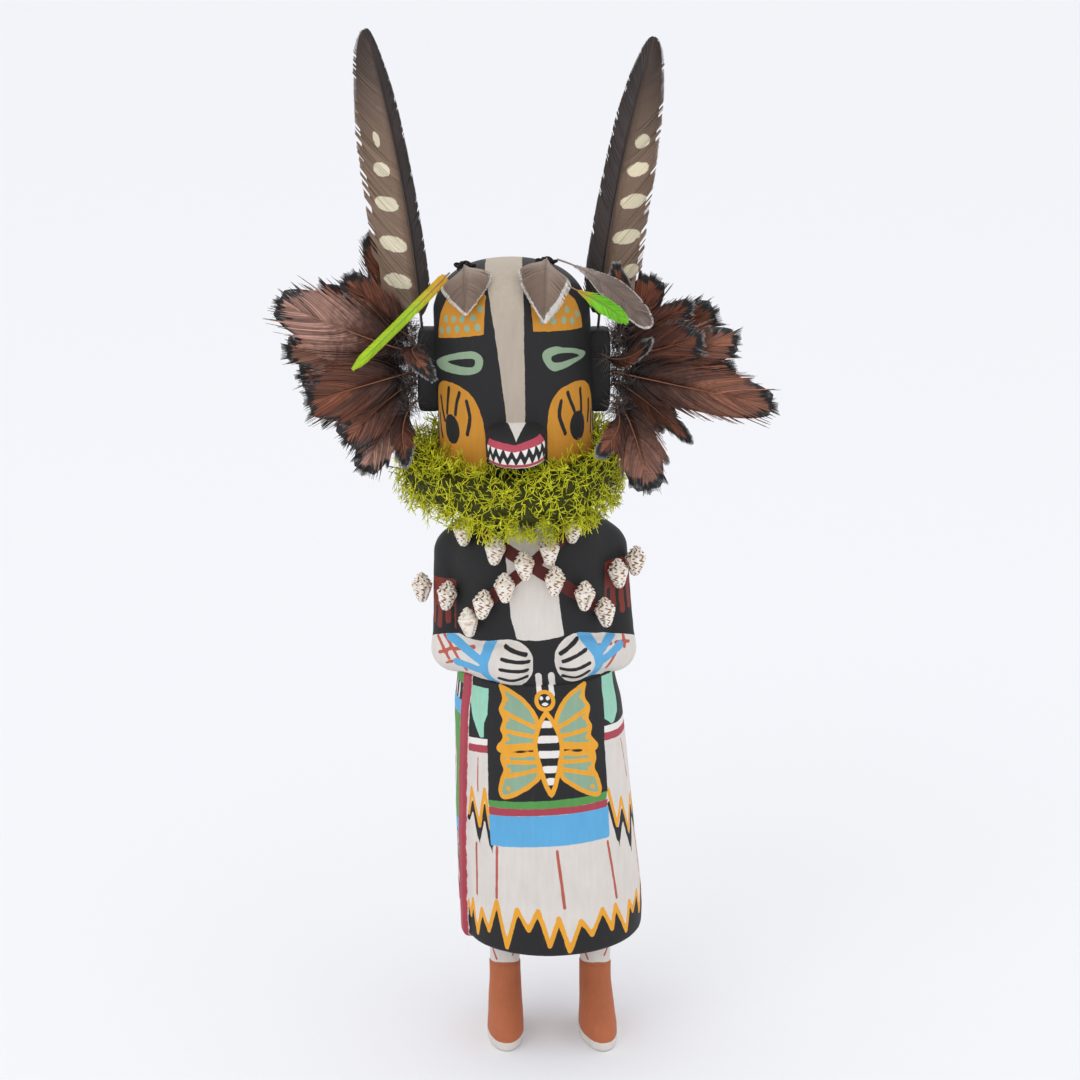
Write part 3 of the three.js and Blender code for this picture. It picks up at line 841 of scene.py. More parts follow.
@dataclass
class Kilt:
    """The painted kilt with its apron, belt and hanging sash, from the hem to the waist.

    Around the kilt, places are given as a length on a circle of radius reach, from the middle of
    the front toward the doll's left.
    """

    foot: float = 50.0
    top: float = 178.5
    reach: float = REACH
    hem_tilt: float = 0.03
    sash_front_top: float = -37.0
    sash_front_foot: float = -49.0
    sash_back: float = -80.0
    sash_thin: float = 1.2
    sash_thick: float = 2.7

    def build(self) -> bpy.types.Object:
        """Makes and paints the kilt."""
        count = int(2 * math.pi * self.reach / FINE)
        angle = turns(count)
        lip = np.array([0.0, 0.25, 0.7, 1.3])
        heights = np.concatenate([self.foot + lip, np.arange(self.foot + 1.9, self.top - 1.5, FINE)])
        heights = np.concatenate([heights, self.top - lip[::-1]])
        tucks = np.interp(heights, self.foot + lip, [1.1, 0.5, 0.12, 0.0])
        tucks += np.interp(heights, self.top - lip[::-1], [0.0, 0.15, 0.6, 1.3])
        rows = [(heights[0], tucks[0] + inward) for inward in (30.0, 22.0, 12.0, 4.0)]
        rows += list(zip(heights, tucks))
        rows += [(self.top, 4.0), (self.top, 12.0)]
        z = np.array([row[0] for row in rows])[:, None] + np.zeros(count)
        tuck = np.array([row[1] for row in rows])[:, None] + np.zeros(count)
        centre, wide, deep = TRUNK.at(z)
        across = wrapped(angle)[None, :] * self.reach + 0 * z
        grow = self._sash(across, z) - tuck
        ways = np.stack([np.sin(angle), -np.cos(angle)], -1)
        x = centre + ways[:, 0] * (wide + grow)
        y = ways[:, 1] * (deep + grow)
        flat = np.stack([x, y, z], -1).reshape(-1, 3)
        bump = 0.22 * unevenness(flat, 34) + 0.07 * unevenness(flat, 7, 2)
        bump[tuck.ravel() > 2] = 0
        flat[:, :2] += (ways[None] + 0 * z[..., None]).reshape(-1, 2) * bump[:, None]
        lift = self.hem_tilt * (flat[:, 0] - 1.5) * np.clip(1 - (flat[:, 2] - self.foot) / 60, 0, 1)
        flat[:, 2] += lift
        ends = [[1.5, 0, self.foot], [TRUNK.at(np.array([self.top]))[0][0], 0, self.top]]
        piece = make_piece("kilt", np.vstack([flat, ends]), capped(len(rows), count))
        self.chart = Chart(np.append(across.ravel(), [0, 0]), np.append(z.ravel(), [self.foot, self.top]))
        PaintedWood("painted kilt").dress(piece, self._coats())
        return finish_piece(piece, "painted_cottonwood", "carved_figure")

    def _sash(self, across: Array, z: Array) -> Array:
        """How far the carved sash stands off the kilt."""
        front = np.interp(z, [self.foot, self.top], [self.sash_front_foot, self.sash_front_top])
        thick = np.interp(z, [self.foot, self.top], [self.sash_thick, self.sash_thin])
        near = ease(front + 0.4, front - 0.9, across)
        return thick * near * ease(self.sash_back, self.sash_back + 1.4, across)

    def _coats(self) -> list[Coat]:
        """The kilt's paint, from the first coat to the last."""
        chart = self.chart
        front = np.interp(chart.up, [self.foot, self.top], [self.sash_front_foot, self.sash_front_top])
        off_sash = np.maximum(front - chart.across, -FAR)
        off_sash = np.where(chart.across < self.sash_back, chart.across - self.sash_back, off_sash)
        on_sash = -off_sash
        coats = [*self._hem(off_sash), *self._borders(off_sash), *self._belt(off_sash)]
        return [*coats, *self._apron(), *Butterfly().coats(chart), *self._sash_panel(on_sash, front)]

    @staticmethod
    def _around(marks: Sequence[Point], start: float, pitch: float, low: float, high: float) -> list[Point]:
        """Continues a zigzag round the back with points of uneven height.

        Args:
            marks: The points across the front.
            start: Where the first added point stands.
            pitch: Distance between two points.
            low: Height of the valleys.
            high: Height of the peaks.

        Returns:
            The whole line, round the doll's left and the back as far as the sash.
        """
        line = list(marks)
        place, i = start, 0
        while place < SASH_START:
            height = (low if i % 2 else high) + 3.2 * math.sin(2.1 * i + 0.6)
            line.append((place, height))
            place += pitch * (1 + 0.22 * math.sin(3.7 * i))
            i += 1
        return line

    @staticmethod
    def _behind(line: Sequence[Point]) -> list[Point]:
        """The part of a line past the middle of the back, counted from the other side."""
        return [(s - ROUND, z) for s, z in line if s > ROUND / 2 - 8]

    def _hem(self, off_sash: Array) -> list[Coat]:
        """The black hem under its ochre zigzag."""
        marks = [
            (-49, 73), (-45, 62), (-42.1, 71), (-39.2, 55.5), (-34.9, 68.6), (-30.9, 59.2), (-25.2, 75.1),
            (-21.3, 53.3), (-15.3, 72.7), (-10.5, 63.1), (-6, 73.1), (-1.7, 55.7), (2.7, 69.2), (6.8, 52.7),
            (12.1, 67.3), (16.9, 59.5), (22.5, 71), (27.2, 59.8), (29.7, 70.9), (36.2, 55.8), (39.6, 69.5),
            (42.4, 63.4), (47.5, 72), (50.4, 60), (56, 75),
        ]
        line = self._around(marks, 61, 5.2, 58, 71)
        line = self._behind(line) + line
        black = both(self.chart.under(line), off_sash + 0.2)
        ochre = both(self.chart.line(line, 2.0), off_sash + 0.2)
        return [Coat(Paint.BLACK, black), Coat(Paint.OCHRE, ochre)]

    def _borders(self, off_sash: Array) -> list[Coat]:
        """The zigzags half way up at both sides of the apron, and the thin pleat lines."""
        chart = self.chart
        left = [(-42, 112), (-38.5, 125), (-33.4, 108.5), (-29.2, 127.2), (-26.6, 109)]
        marks = [(31.8, 126), (35.9, 108.1), (41.1, 119.6), (45.8, 102.1), (52.4, 118), (55, 108)]
        right = self._around(marks, 60, 6, 106, 124)
        under_left = [(-42, 110), (-37.6, 118), (-34, 103.4), (-29.6, 118.8), (-26.6, 101.6)]
        under_right = [(s, z - 6.5) for s, z in right]
        back, under_back = self._behind(right), self._behind(under_right)
        spikes = [
            [(s - 1.2, z + 2), (s + 1.2, z + 2), (s + 0.2, z - 4.5)]
            for s, z in [*under_left, *under_right, *under_back]
            if z < 106
        ]
        black = either(chart.lines([under_left, under_right, under_back], 2.6), chart.shapes(spikes))
        ochre = chart.lines([left, right, back], 1.9)
        pleats = [
            [(-36.2, 99.7), (-38, 74.7)], [(-23.6, 101), (-25.1, 76.5)], [(4, 101.5), (5.4, 73.9)],
            [(28.6, 102.3), (31, 74)], [(54, 100), (55, 78)], [(78, 99), (79, 76)], [(101, 100), (102, 77)],
            [(-104, 101), (-103, 76)],
        ]
        fine = [[(-33.1, 141), (-33.9, 124.6)], [(47, 146), (50, 127)], [(74, 147), (75, 128)]]
        russet = either(chart.lines(pleats, 1.35), chart.lines(fine, 0.9))
        clear = off_sash + 0.3
        return [
            Coat(Paint.BLACK, both(black, clear)),
            Coat(Paint.OCHRE, both(ochre, clear)),
            Coat(Paint.RUSSET, both(russet, clear), 0.2),
        ]

    def _belt(self, off_sash: Array) -> list[Coat]:
        """The black belt with its mint leaves over a white and a crimson stripe."""
        chart = self.chart
        low = [(-80, 153), (-41, 149), (-25, 151.5), (30, 156), (45, 154.5)]
        low = [(-HALF_ROUND, 155), *low, (HALF_ROUND, 155)]
        stripe = [(s, z - 3.0) for s, z in low]
        under = [(s, z - 6.6) for s, z in low]
        leaf_left = [
            (-38.7, 174), (-25.5, 174.7), (-25.4, 163.8), (-27.9, 158.5), (-28.5, 151.6), (-30.8, 151.1),
            (-35.6, 159.1), (-38.2, 166.8),
        ]
        leaf_right = [
            (32, 178.3), (50.4, 177), (48.3, 167), (46.5, 159.6), (41.7, 155.8), (39, 155.6), (33.5, 159.6),
            (30.8, 166.8), (32.6, 173),
        ]
        leaves = [leaf_left, leaf_right]
        leaf_middle = 39
        for place in (72.0, 104.0, -103.0):
            leaves.append([(s - leaf_middle + place, z) for s, z in leaf_right])
        glints = []
        for leaf in leaves:
            middle = sum(s for s, _ in leaf) / len(leaf)
            glints.append([(middle - 3, 173.6), (middle + 1.5, 172.4)])
            glints += [[(middle + d, 169), (middle + 0.6 * d, 160)] for d in (-3.2, 0.4, 3.4)]
        black = -chart.under(low)
        white = both(chart.under(low), -chart.under(stripe))
        crimson = both(chart.under(stripe), -chart.under(under))
        clear = off_sash + 0.3
        return [
            Coat(Paint.BLACK, both(black, clear)),
            Coat(Paint.WHITE, both(white, clear)),
            Coat(Paint.CRIMSON, both(crimson, clear)),
            Coat(Paint.MINT, both(chart.shapes(leaves), clear)),
            Coat(Paint.TURQUOISE, both(chart.lines(glints, 1.4), clear), 0.5),
        ]

    def _apron(self) -> list[Coat]:
        """The black apron and the three stripes at its foot."""
        chart = self.chart
        outline = [
            (-25.4, 182), (-26.3, 150), (-27.2, 122), (0, 124), (31.4, 125.6), (32.4, 150), (36, 168),
            (38, 182),
        ]

        def stripe(left: float, middle: float, right: float, falls: Point) -> Array:
            """A stripe whose upper edge passes three heights, and how far it falls at each."""
            upper = curved([(-27.3, left), (1, middle), (31.0, right)], 4)
            lower = curved([(30.2, right - falls[2]), (0, middle - falls[1]), (-26.8, left - falls[0])], 4)
            return chart.shape([*upper, *lower])

        return [
            Coat(Paint.BLACK, chart.shape(outline)),
            Coat(Paint.GREEN, stripe(122.6, 125.4, 125.8, (3.2, 3.9, 3.6))),
            Coat(Paint.CRIMSON, stripe(119.5, 121.7, 122.2, (3.9, 3.3, 3.6))),
            Coat(Paint.BLUE, stripe(115.7, 118.4, 118.7, (14.6, 14.6, 14.4))),
        ]

    def _sash_panel(self, on_sash: Array, front: Array) -> list[Coat]:
        """The hanging sash with its woven bands and crimson edge."""
        chart = self.chart
        edge = front - 6.4
        panel = both(on_sash, chart.across - edge)

        def band(low: float, high: float) -> Array:
            """The panel between two heights."""
            return both(panel, low - chart.up, chart.up - high)

        places = [-76, -71.4, -66.8, -62.2, -57.6, -53, -48.4]
        bars = [[(s, low), (s, high)] for s in places for low, high in ((166, 172), (94.5, 99.5))]
        squiggle = curved([(-73, 86), (-69, 74), (-64, 87), (-60, 73.5), (-56, 86.5), (-52.5, 75), (-50, 84)])
        diamonds, hearts = [], []
        for middle in (-70.5, -57.0):
            diamonds.append([(middle, 155), (middle + 5, 132), (middle, 110), (middle - 5, 132)])
            hearts.append([(middle, 150), (middle + 2.2, 132), (middle, 115), (middle - 2.2, 132)])
        border = both(on_sash, either(edge - chart.across, chart.up - 71 - 0.35 * (chart.across + 56)))
        foot = both(on_sash, chart.up - 66 - 0.35 * (chart.across + 56), chart.across - edge)
        threads = [[(s, 63), (s, 52)] for s in (-75, -69, -63, -57)]
        return [
            Coat(Paint.CREAM, on_sash),
            Coat(Paint.GREEN, either(band(173, 180), band(106.4, 158.5), band(88.6, 93))),
            Coat(Paint.BLACK, either(band(165, 173), band(93, 101), band(71, 88.6))),
            Coat(Paint.BLUE, either(band(158.5, 165), band(101, 106.4))),
            Coat(Paint.WHITE, both(panel, either(chart.shapes(diamonds), chart.lines(bars, 1.8)))),
            Coat(Paint.RUSSET, both(panel, chart.shapes(hearts)), 0.2),
            Coat(Paint.WHITE, both(panel, chart.line(squiggle, 2.0))),
            Coat(Paint.CRIMSON, border),
            Coat(Paint.CREAM, foot),
            Coat(Paint.RUSSET, both(foot, chart.lines(threads, 0.9)), 0.15),
        ]


@dataclass(frozen=True)
class Butterfly:
    """A plain butterfly with scalloped wings on the apron, the same on both sides."""

    middle: float = 3.4
    outline: float = 2.1
    upper_wing: tuple[Point, ...] = (
        (3.2, 162), (8.4, 171), (15, 175.6), (22.6, 178), (21.0, 171.5), (23, 166.6), (20.9, 161.8),
        (22.4, 157.6), (21.3, 153.6), (24.8, 148.6), (22, 146.2), (14, 148.4), (5, 150.4),
    )
    lower_wing: tuple[Point, ...] = (
        (5, 147.6), (14, 147.2), (22, 146.4), (22.8, 142.4), (21.4, 138.6), (23.2, 134.4), (24.6, 128.2),
        (22.4, 124.6), (15.5, 127), (8, 132.2), (4, 137),
    )
    veins: tuple[tuple[Point, Point], ...] = (
        ((4, 159), (24, 167.2)), ((4, 155), (24, 157.4)), ((4, 152), (24, 149)),
        ((4, 143.6), (24, 142.2)), ((4, 140.4), (24, 134.6)),
    )
    spots: tuple[Point, ...] = (
        (19, 171.6), (18.6, 162.4), (18.8, 153.2), (19.2, 144), (18.8, 138.6), (19.4, 130),
    )

    def coats(self, chart: Chart) -> list[Coat]:
        """The butterfly's paint.

        Args:
            chart: The kilt's chart.

        Returns:
            Its coats in order.
        """

        def mirrored(points: Sequence[Point]) -> list[list[Point]]:
            """The same line on both wings."""
            return [[(self.middle + side * s, z) for s, z in points] for side in (-1, 1)]

        wings = [outline for wing in (self.upper_wing, self.lower_wing) for outline in mirrored(wing)]
        wing = chart.shapes([curved(outline, 4, closed=True) for outline in wings])
        veins = chart.lines([line for vein in self.veins for line in mirrored(vein)], self.outline)
        spots = chart.dots([place for spot in self.spots for (place,) in mirrored([spot])], 1.15)
        trunk = [(3.4, 167), (9.4, 157), (10, 146), (3.2, 126.6), (-3.2, 146), (-2.6, 157)]
        body = chart.shape(curved(trunk, closed=True))
        inner = body + self.outline
        stripes = [chart.box(-9, 15, z - 1.7, z + 1.7) for z in (161, 154, 147, 140, 134.4)]
        head = chart.dots([(self.middle, 171.6)], 5.0)
        feelers = [[(1.3, 174), (0.9, 180)], [(7.2, 174), (6.9, 180)]]
        eyes = [(self.middle - 1.6, 172.7), (self.middle + 1.6, 172.7)]
        mouth = chart.dots([(self.middle, 169.9)], 1.6, 0.8)
        return [
            Coat(Paint.WHITE, chart.lines(feelers, 2.6)),
            Coat(Paint.OCHRE, wing),
            Coat(Paint.SAGE, both(wing + self.outline, -veins)),
            Coat(Paint.OCHRE, either(spots, body, head), 0.25),
            Coat(Paint.BLACK, either(inner, head + 1.9), 0.25),
            Coat(Paint.WHITE, either(both(inner, either(*stripes)), chart.dots(eyes, 1.0), mouth), 0.3),
        ]


@dataclass(frozen=True)
class Arm:
    """One folded arm, with x measured outward from the line between the arms."""

    side: int
    shoulder: Point
    elbow: Point
    wrist: Point
    hand: Point


@dataclass
class Body:
    """Shoulders, chest and the two folded arms, carved as one with the kilt."""

    foot: float = 172.0
    top: float = 266.0
    pitch: float = 1.0
    arms: tuple[Arm, ...] = (
        Arm(-1, (34.0, 1.0, 231.0), (35.0, -2.5, 186.5), (15.5, -25.5, 188.5), (9.6, -28.2, 188.4)),
        Arm(1, (31.0, 1.0, 232.5), (35.0, -2.5, 186.5), (22.5, -22.4, 190.4), (18.0, -25.8, 190.2)),
    )
    hand_size: Point = (9.0, 8.6, 10.2)
    arm_radius: float = 10.4
    wrist_radius: float = 8.7
    arm_centre: float = -7.6

    def _trunk(self, p: Array) -> Array:
        """Distance to the chest and shoulders."""
        centre, wide, deep = TRUNK.at(p[..., 2])
        tuck = 0.9 * (1 - ease(178.5, 182, p[..., 2]))
        x, y = p[..., 0] - centre, p[..., 1]
        wide, deep = wide - tuck, deep - tuck
        share = np.hypot(x / wide, y / deep)
        steep = np.maximum(np.hypot(x / wide**2, y / deep**2), 1e-6)
        return np.maximum.reduce([share * (share - 1) / steep, self.foot - p[..., 2], p[..., 2] - self.top])

    @staticmethod
    def _rod(p: Array, start: Array, end: Array, first: float, last: float) -> Array:
        """Distance to a round bar between two points with a radius at each."""
        way = end - start
        share = np.clip(((p - start) @ way) / (way @ way), 0, 1)
        away = np.linalg.norm(p - start - share[..., None] * way, axis=-1)
        return away - (first + (last - first) * share)

    def _place(self, arm: Arm, q: Point) -> Array:
        """Turns a place measured from the line between the arms into a place on the doll."""
        return np.array([self.arm_centre + arm.side * q[0], q[1], q[2]])

    def _forearm(self, p: Array, arm: Arm) -> Array:
        """Distance to one forearm and hand."""
        elbow, wrist = self._place(arm, arm.elbow), self._place(arm, arm.wrist)
        lower = self._rod(p, elbow, wrist, self.arm_radius - 0.2, self.wrist_radius)
        size = np.array(self.hand_size)
        from_hand = (p - self._place(arm, arm.hand)) / size
        share = np.linalg.norm(from_hand, axis=-1)
        steep = np.maximum(np.linalg.norm(from_hand / size, axis=-1), 1e-6)
        return smooth_union(lower, share * (share - 1) / steep, 3.0)

    def distance(self, p: Array) -> Array:
        """Signed distance to the carving.

        Args:
            p: Places in mm.

        Returns:
            Distances in mm, negative inside.
        """
        out = self._trunk(p)
        for arm in self.arms:
            shoulder, elbow = self._place(arm, arm.shoulder), self._place(arm, arm.elbow)
            upper = self._rod(p, shoulder, elbow, self.arm_radius, self.arm_radius)
            limb = smooth_union(upper, self._forearm(p, arm), 2.5)
            out = smooth_union(out, limb, 1.6 + 5.0 * ease(224, 240, p[..., 2]))
        return out

    def build(self) -> bpy.types.Object:
        """Makes and paints the body."""
        low, high = np.array([-55.5, -41.0, self.foot - 2]), np.array([40.0, 36.0, self.top + 2])
        axes = [np.arange(a, b, self.pitch) for a, b in zip(low, high)]
        places = np.stack(np.meshgrid(*axes, indexing="ij"), -1)
        points, faces = surface_net(self.distance(places), low, self.pitch)
        points = settle(points, self.distance)
        self.points = points
        coats = self._coats()
        piece_points = points.copy()
        away = points - [self.arm_centre, 0, 0]
        away[:, 2] = 0
        cuts = 0.2 * unevenness(points, 30, 1) + 0.06 * unevenness(points, 6, 3)
        piece_points += unit(away) * cuts[:, None]
        piece = make_piece("body_and_arms", piece_points, faces)
        PaintedWood("painted body", Paint.BLACK, 0.05).dress(piece, coats)
        return finish_piece(piece, "painted_cottonwood", "carved_figure")

    def _coats(self) -> list[Coat]:
        """The paint of chest, arms and hands."""
        p = self.points
        front = Chart(p[:, 0], p[:, 2])
        facing = p[:, 1] + 6.0
        panel = [
            (-20.2, 252), (-20.2, 241.1), (-19.4, 231.4), (-17.7, 209.7), (-15, 199.7), (-5, 199.4),
            (5.7, 201),
            (3.4, 218.6), (1.7, 232.7), (1.4, 252),
        ]
        straps = [
            curved([(-40, 252), (-20, 240), (-5, 231), (12, 219), (31, 203), (38, 196)], 3),
            curved([(14, 254), (4, 244), (-12, 231), (-27, 217), (-40, 201), (-46, 194)], 3),
        ]
        arm_side = np.where(p[:, 0] < self.arm_centre, -1, 1)
        reach = np.abs(p[:, 0] - self.arm_centre)
        bands, fringes = [], []
        # Inner edge, foot, top, end of the fringe and slope of each armband.
        armbands = ((34.4, 207.0, 219.7, 200.2, 1.6), (31.4, 216.8, 229.4, 207.5, 0.8))
        for arm, (inner, low, high, frayed, slope) in zip(self.arms, armbands):
            angle = np.arctan2(reach - arm.shoulder[0], arm.shoulder[1] - p[:, 1])
            sleeve = Chart(self.arm_radius * angle, p[:, 2])
            own = np.where(arm_side == arm.side, inner - reach, FAR)
            rise = slope * np.cos(angle)
            bands.append(both(own, low - p[:, 2] + rise, p[:, 2] - high - rise))
            strips = [[(s, high - 3), (s, frayed + 1.6 * math.sin(2.3 * s))] for s in np.arange(-15, 32, 3.7)]
            fringes.append(both(own, sleeve.lines(strips, 2.3)))
        pale = []
        for arm in self.arms:
            shoulder, elbow = self._place(arm, arm.shoulder), self._place(arm, arm.elbow)
            cuff = self._rod(p, shoulder, elbow, self.arm_radius, self.arm_radius)
            own = np.where(arm_side == arm.side, -FAR, FAR)
            pale.append(both(either(self._forearm(p, arm) - 1.2, cuff - 1.6), own))
        sleeve_end = 192.6 - 0.45 * (p[:, 1] + 4)
        pale_all = both(either(*pale), p[:, 2] - sleeve_end)
        blue = [
            curved([(-22.4, 203), (-26.6, 197), (-29.4, 190), (-28.8, 183), (-23.4, 176.5)], 4),
            [(-30, 189), (-44.6, 194.8)],
            [(-29.6, 184.7), (-41.6, 184.7)],
            curved([(11.6, 203.5), (16, 198.6), (20.4, 193), (21.4, 187), (18.4, 180.5)], 4),
            [(21, 192.4), (31.2, 200)],
            [(21.6, 187.6), (30.2, 191.4)],
        ]
        fingers = [
            [(-19.9, 196.9), (-11.1, 193.4)], [(-21.6, 192), (-9.7, 190.2)], [(-22.5, 187.3), (-10.4, 186.4)],
            curved([(-22.8, 182.7), (-17, 181.9), (-10.6, 183.1)], 3), [(11.4, 199.5), (4.1, 193.4)],
            [(15.3, 195.3), (5.2, 190.2)], curved([(17.1, 189.2), (11, 187), (4.4, 186.4)], 3),
            curved([(16.7, 185), (11, 182.2), (5.2, 182.7)], 3),
        ]
        hatch = [
            [(-48.1, 196.5), (-37.5, 181.6)], [(-50.6, 194.6), (-45.4, 185)], [(-49.6, 187), (-44, 190.4)],
            [(-46.4, 182.6), (-40.6, 186.2)], [(-43, 190.4), (-34, 193.8)], [(20.6, 195.4), (26.6, 193.8)],
            [(28.6, 203), (29.6, 197.4)], [(31.2, 201), (32.8, 190)], [(28.6, 193.2), (34.6, 191.8)],
            [(24.6, 182.6), (29, 189.4)],
        ]
        brushed = ((blue, 3.9), (fingers, 1.75), (hatch, 1.35))
        bands_blue, finger_lines, hatching = (
            both(pale_all, facing, front.lines(strokes, width)) for strokes, width in brushed
        )
        feelers = [[(-5.1, 176), (-5.5, 183.2)], [(0.9, 176), (0.1, 183.2)]]
        return [
            Coat(Paint.CREAM, both(front.shape(panel), facing)),
            Coat(Paint.CREAM, both(front.lines(feelers, 2.8), p[:, 1] + 24)),
            Coat(Paint.BANDOLIER, both(front.lines(straps, 5.6), reach - 27.5)),
            Coat(Paint.ARMBAND, either(*bands, *fringes)),
            Coat(Paint.CREAM, pale_all),
            Coat(Paint.RUSSET, hatching, 0.2),
            Coat(Paint.BLUE, bands_blue),
            Coat(Paint.BLACK, finger_lines, 0.25),
        ]


def turned(
    heights: Sequence[float], radii: Sequence[float], spacing: float
) -> tuple[Array, Array, Array]:
    """Follows an outline at an even spacing.

    Args:
        heights: Heights of the outline's points.
        radii: Their radii.
        spacing: Distance between two rings.

    Returns:
        Height, radius and length along the outline of each ring.
    """
    path = np.array(curved(list(zip(radii, heights)), 8))
    run = np.concatenate([[0], np.cumsum(np.linalg.norm(np.diff(path, axis=0), axis=1))])
    at = np.linspace(0, run[-1], int(run[-1] / spacing) + 2)
    return np.interp(at, run, path[:, 1]), np.interp(at, run, path[:, 0]), at


@dataclass
class CaseMask:
    """The case mask: a drum with a domed top, painted black with a pale stripe and bear paws."""

    foot: Point = (-14.5, 0.0, 262.0)
    lean: float = -0.035
    radius: float = 34.2
    outline: tuple[Point, ...] = (
        (0, 30.5), (2.2, 33.4), (8, 34.2), (40, 34.2), (76, 34.2), (84, 33), (91, 29.6), (96.5, 23.5),
        (99.8, 15), (101.2, 6), (101.5, 0.3),
    )

    def build(self) -> bpy.types.Object:
        """Makes and paints the mask."""
        z, radius, run = turned([q[0] for q in self.outline], [q[1] for q in self.outline], FINE)
        count = int(2 * math.pi * self.radius / FINE)
        angle = turns(count)
        high = z[:, None] + np.zeros(count)
        turn = wrapped(angle)[None, :] + 0 * high
        x = self.foot[0] + self.lean * high + radius[:, None] * np.sin(angle)
        y = self.foot[1] - radius[:, None] * np.cos(angle)
        flat = np.stack([x, y, self.foot[2] + high], -1).reshape(-1, 3)
        out = np.stack([np.sin(angle), -np.cos(angle), 0 * angle], -1)
        out = (out[None] + 0 * high[..., None]).reshape(-1, 3)
        bump = 0.25 * unevenness(flat, 32, 4) + 0.06 * unevenness(flat, 6, 5)
        flat += out * (bump * np.clip(np.repeat(radius, count) / 12, 0, 1))[:, None]
        crown = self.foot[0] + self.lean * z[-1]
        ends = [[self.foot[0], 0, self.foot[2]], [crown, 0, self.foot[2] + z[-1] + 0.02]]
        piece = make_piece("case_mask", np.vstack([flat, ends]), capped(len(z), count))
        length = np.concatenate([(run[:, None] + 0 * high).ravel(), [0, run[-1]]])
        around = np.append((turn * self.radius).ravel(), [0, 0])
        wide = np.append((x - self.foot[0] - self.lean * high).ravel(), [0, 0])
        behind = np.append(y.ravel(), [0, 0]) > 0
        self.skin = Chart(around, length)
        self.seam = Chart(wide, np.where(behind, 2 * run[-1] - length, length))
        PaintedWood("painted mask", Paint.BLACK, 0.05).dress(piece, self._coats())
        return finish_piece(piece, "painted_cottonwood", "carved_figure")

    def _coats(self) -> list[Coat]:
        """The paint of the face."""
        skin = self.skin
        stripe = [
            (-10, 175), (-10.4, 140), (-10.6, 112), (-9.6, 100), (-8.4, 90), (-7, 78.8), (-5.4, 62.7),
            (-3.9, 46.5),
            (-3.4, 36.2), (-1.2, 28), (0.6, 28), (4.4, 37.1), (5, 50), (5.3, 72.3), (5.8, 91),
            (5.6, 112), (5.2, 140),
            (5, 175),
        ]
        brow_right = [(-41, 71.9), (-12.1, 78.2), (-11.8, 84), (-12.4, 95), (-17, 100), (-30, 99), (-37, 90)]
        brow_left = [(9.9, 95), (9.6, 79.9), (38, 77.2), (37, 90), (30, 99), (15, 100)]
        dots = [
            (-36.8, 76.2), (-31.5, 77.5), (-25.7, 79), (-20.3, 80), (-15, 81.1), (-33.2, 81.9), (-27.9, 82.8),
            (-23.1, 83.7), (-17.4, 85), (-14.4, 89.4), (14.2, 84.2), (19.6, 83.5), (25.4, 82.9), (30.6, 81.8),
            (34.6, 84), (28.7, 86.9), (22, 88),
        ]
        eyes = [
            [
                (-46.5, 59.6), (-41, 62.6), (-30.6, 66.8), (-21.2, 69.7), (-16.2, 70.1), (-13.1, 68),
                (-13.2, 64.3), (-15.3, 61.3), (-20.2, 59.4), (-27.4, 58.6), (-39.8, 58.1),
            ],
            [
                (13.2, 68.6), (14.6, 71.2), (19.4, 72.2), (23.8, 71.1), (30.7, 69.5), (39, 66.4),
                (39.4, 64.6), (30.3, 62.9), (23.5, 61.7), (18.3, 61.4), (15, 64.4),
            ],
        ]
        slits = [
            [
                (-33.4, 62.9), (-24.4, 65.8), (-18.4, 66.9), (-16.7, 66.3), (-17, 64.1), (-18.6, 63.1),
                (-23.8, 62.6),
            ],
            [
                (17.3, 67.5), (19.3, 68.6), (23.7, 68.7), (29.6, 67.6), (34.6, 65.4), (28.6, 65.2),
                (22.1, 64.8), (18.5, 65.4),
            ],
        ]
        cheeks = [
            [
                (-47, 10), (-47.6, 30), (-46.6, 45), (-41, 52), (-32, 54), (-24, 53), (-18.5, 49.6),
                (-14.9, 42.6), (-13.4, 32.8), (-13, 10),
            ],
            [
                (13.6, 10), (14.2, 27.8), (14.4, 36.3), (16, 45.6), (20.2, 51.9), (28, 54.4), (36, 54),
                (43, 50), (47, 42), (48, 30), (48, 10),
            ],
        ]
        pads = [(-32.2, 32.8), (31.6, 34.6)]
        claws = [
            [(-41.8, 45.4), (-40.4, 40), (-38.2, 35.4)], [(-33.2, 51.2), (-34.8, 45), (-35.6, 39.4)],
            [(-26, 50.4), (-28, 45.6), (-29.2, 40.2)], [(-22, 47.4), (-20.6, 40), (-22.4, 32.4)],
            [(-44.6, 36.8), (-43.4, 31), (-41.2, 27)], [(22, 47.6), (20.6, 41), (23.4, 32.6)],
            [(25.8, 50.6), (27.4, 46.4), (29.6, 41.6)], [(34.4, 50.6), (34.8, 45.6), (34.6, 40.6)],
            [(41.8, 44), (41.6, 39), (40.2, 34.6)], [(45.6, 38), (45, 33), (43.6, 29)],
        ]
        eyes, slits = ([curved(line, 3, True) for line in lines] for lines in (eyes, slits))
        cheeks = [curved(line, 4) for line in cheeks]
        claws = [curved(line, 3) for line in claws]
        return [
            Coat(Paint.BONE, self.seam.shape(stripe)),
            # The brows take the ochre darkened with painted shade.
            Coat(Paint.MASK_OCHRE, skin.shapes([brow_right, brow_left])),
            Coat(Paint.SAGE, skin.dots(dots, 1.45, 1.6)),
            Coat(Paint.EYE_GREEN, skin.shapes(eyes), 0.2),
            Coat(Paint.BLACK, skin.shapes(slits), 0.2),
            # The cheeks take the same ochre with painted shade.
            Coat(Paint.MASK_OCHRE, skin.shapes(cheeks)),
            Coat(Paint.BLACK, either(skin.dots(pads, 5.3, 6.6), skin.lines(claws, 1.9)), 0.3),
        ]


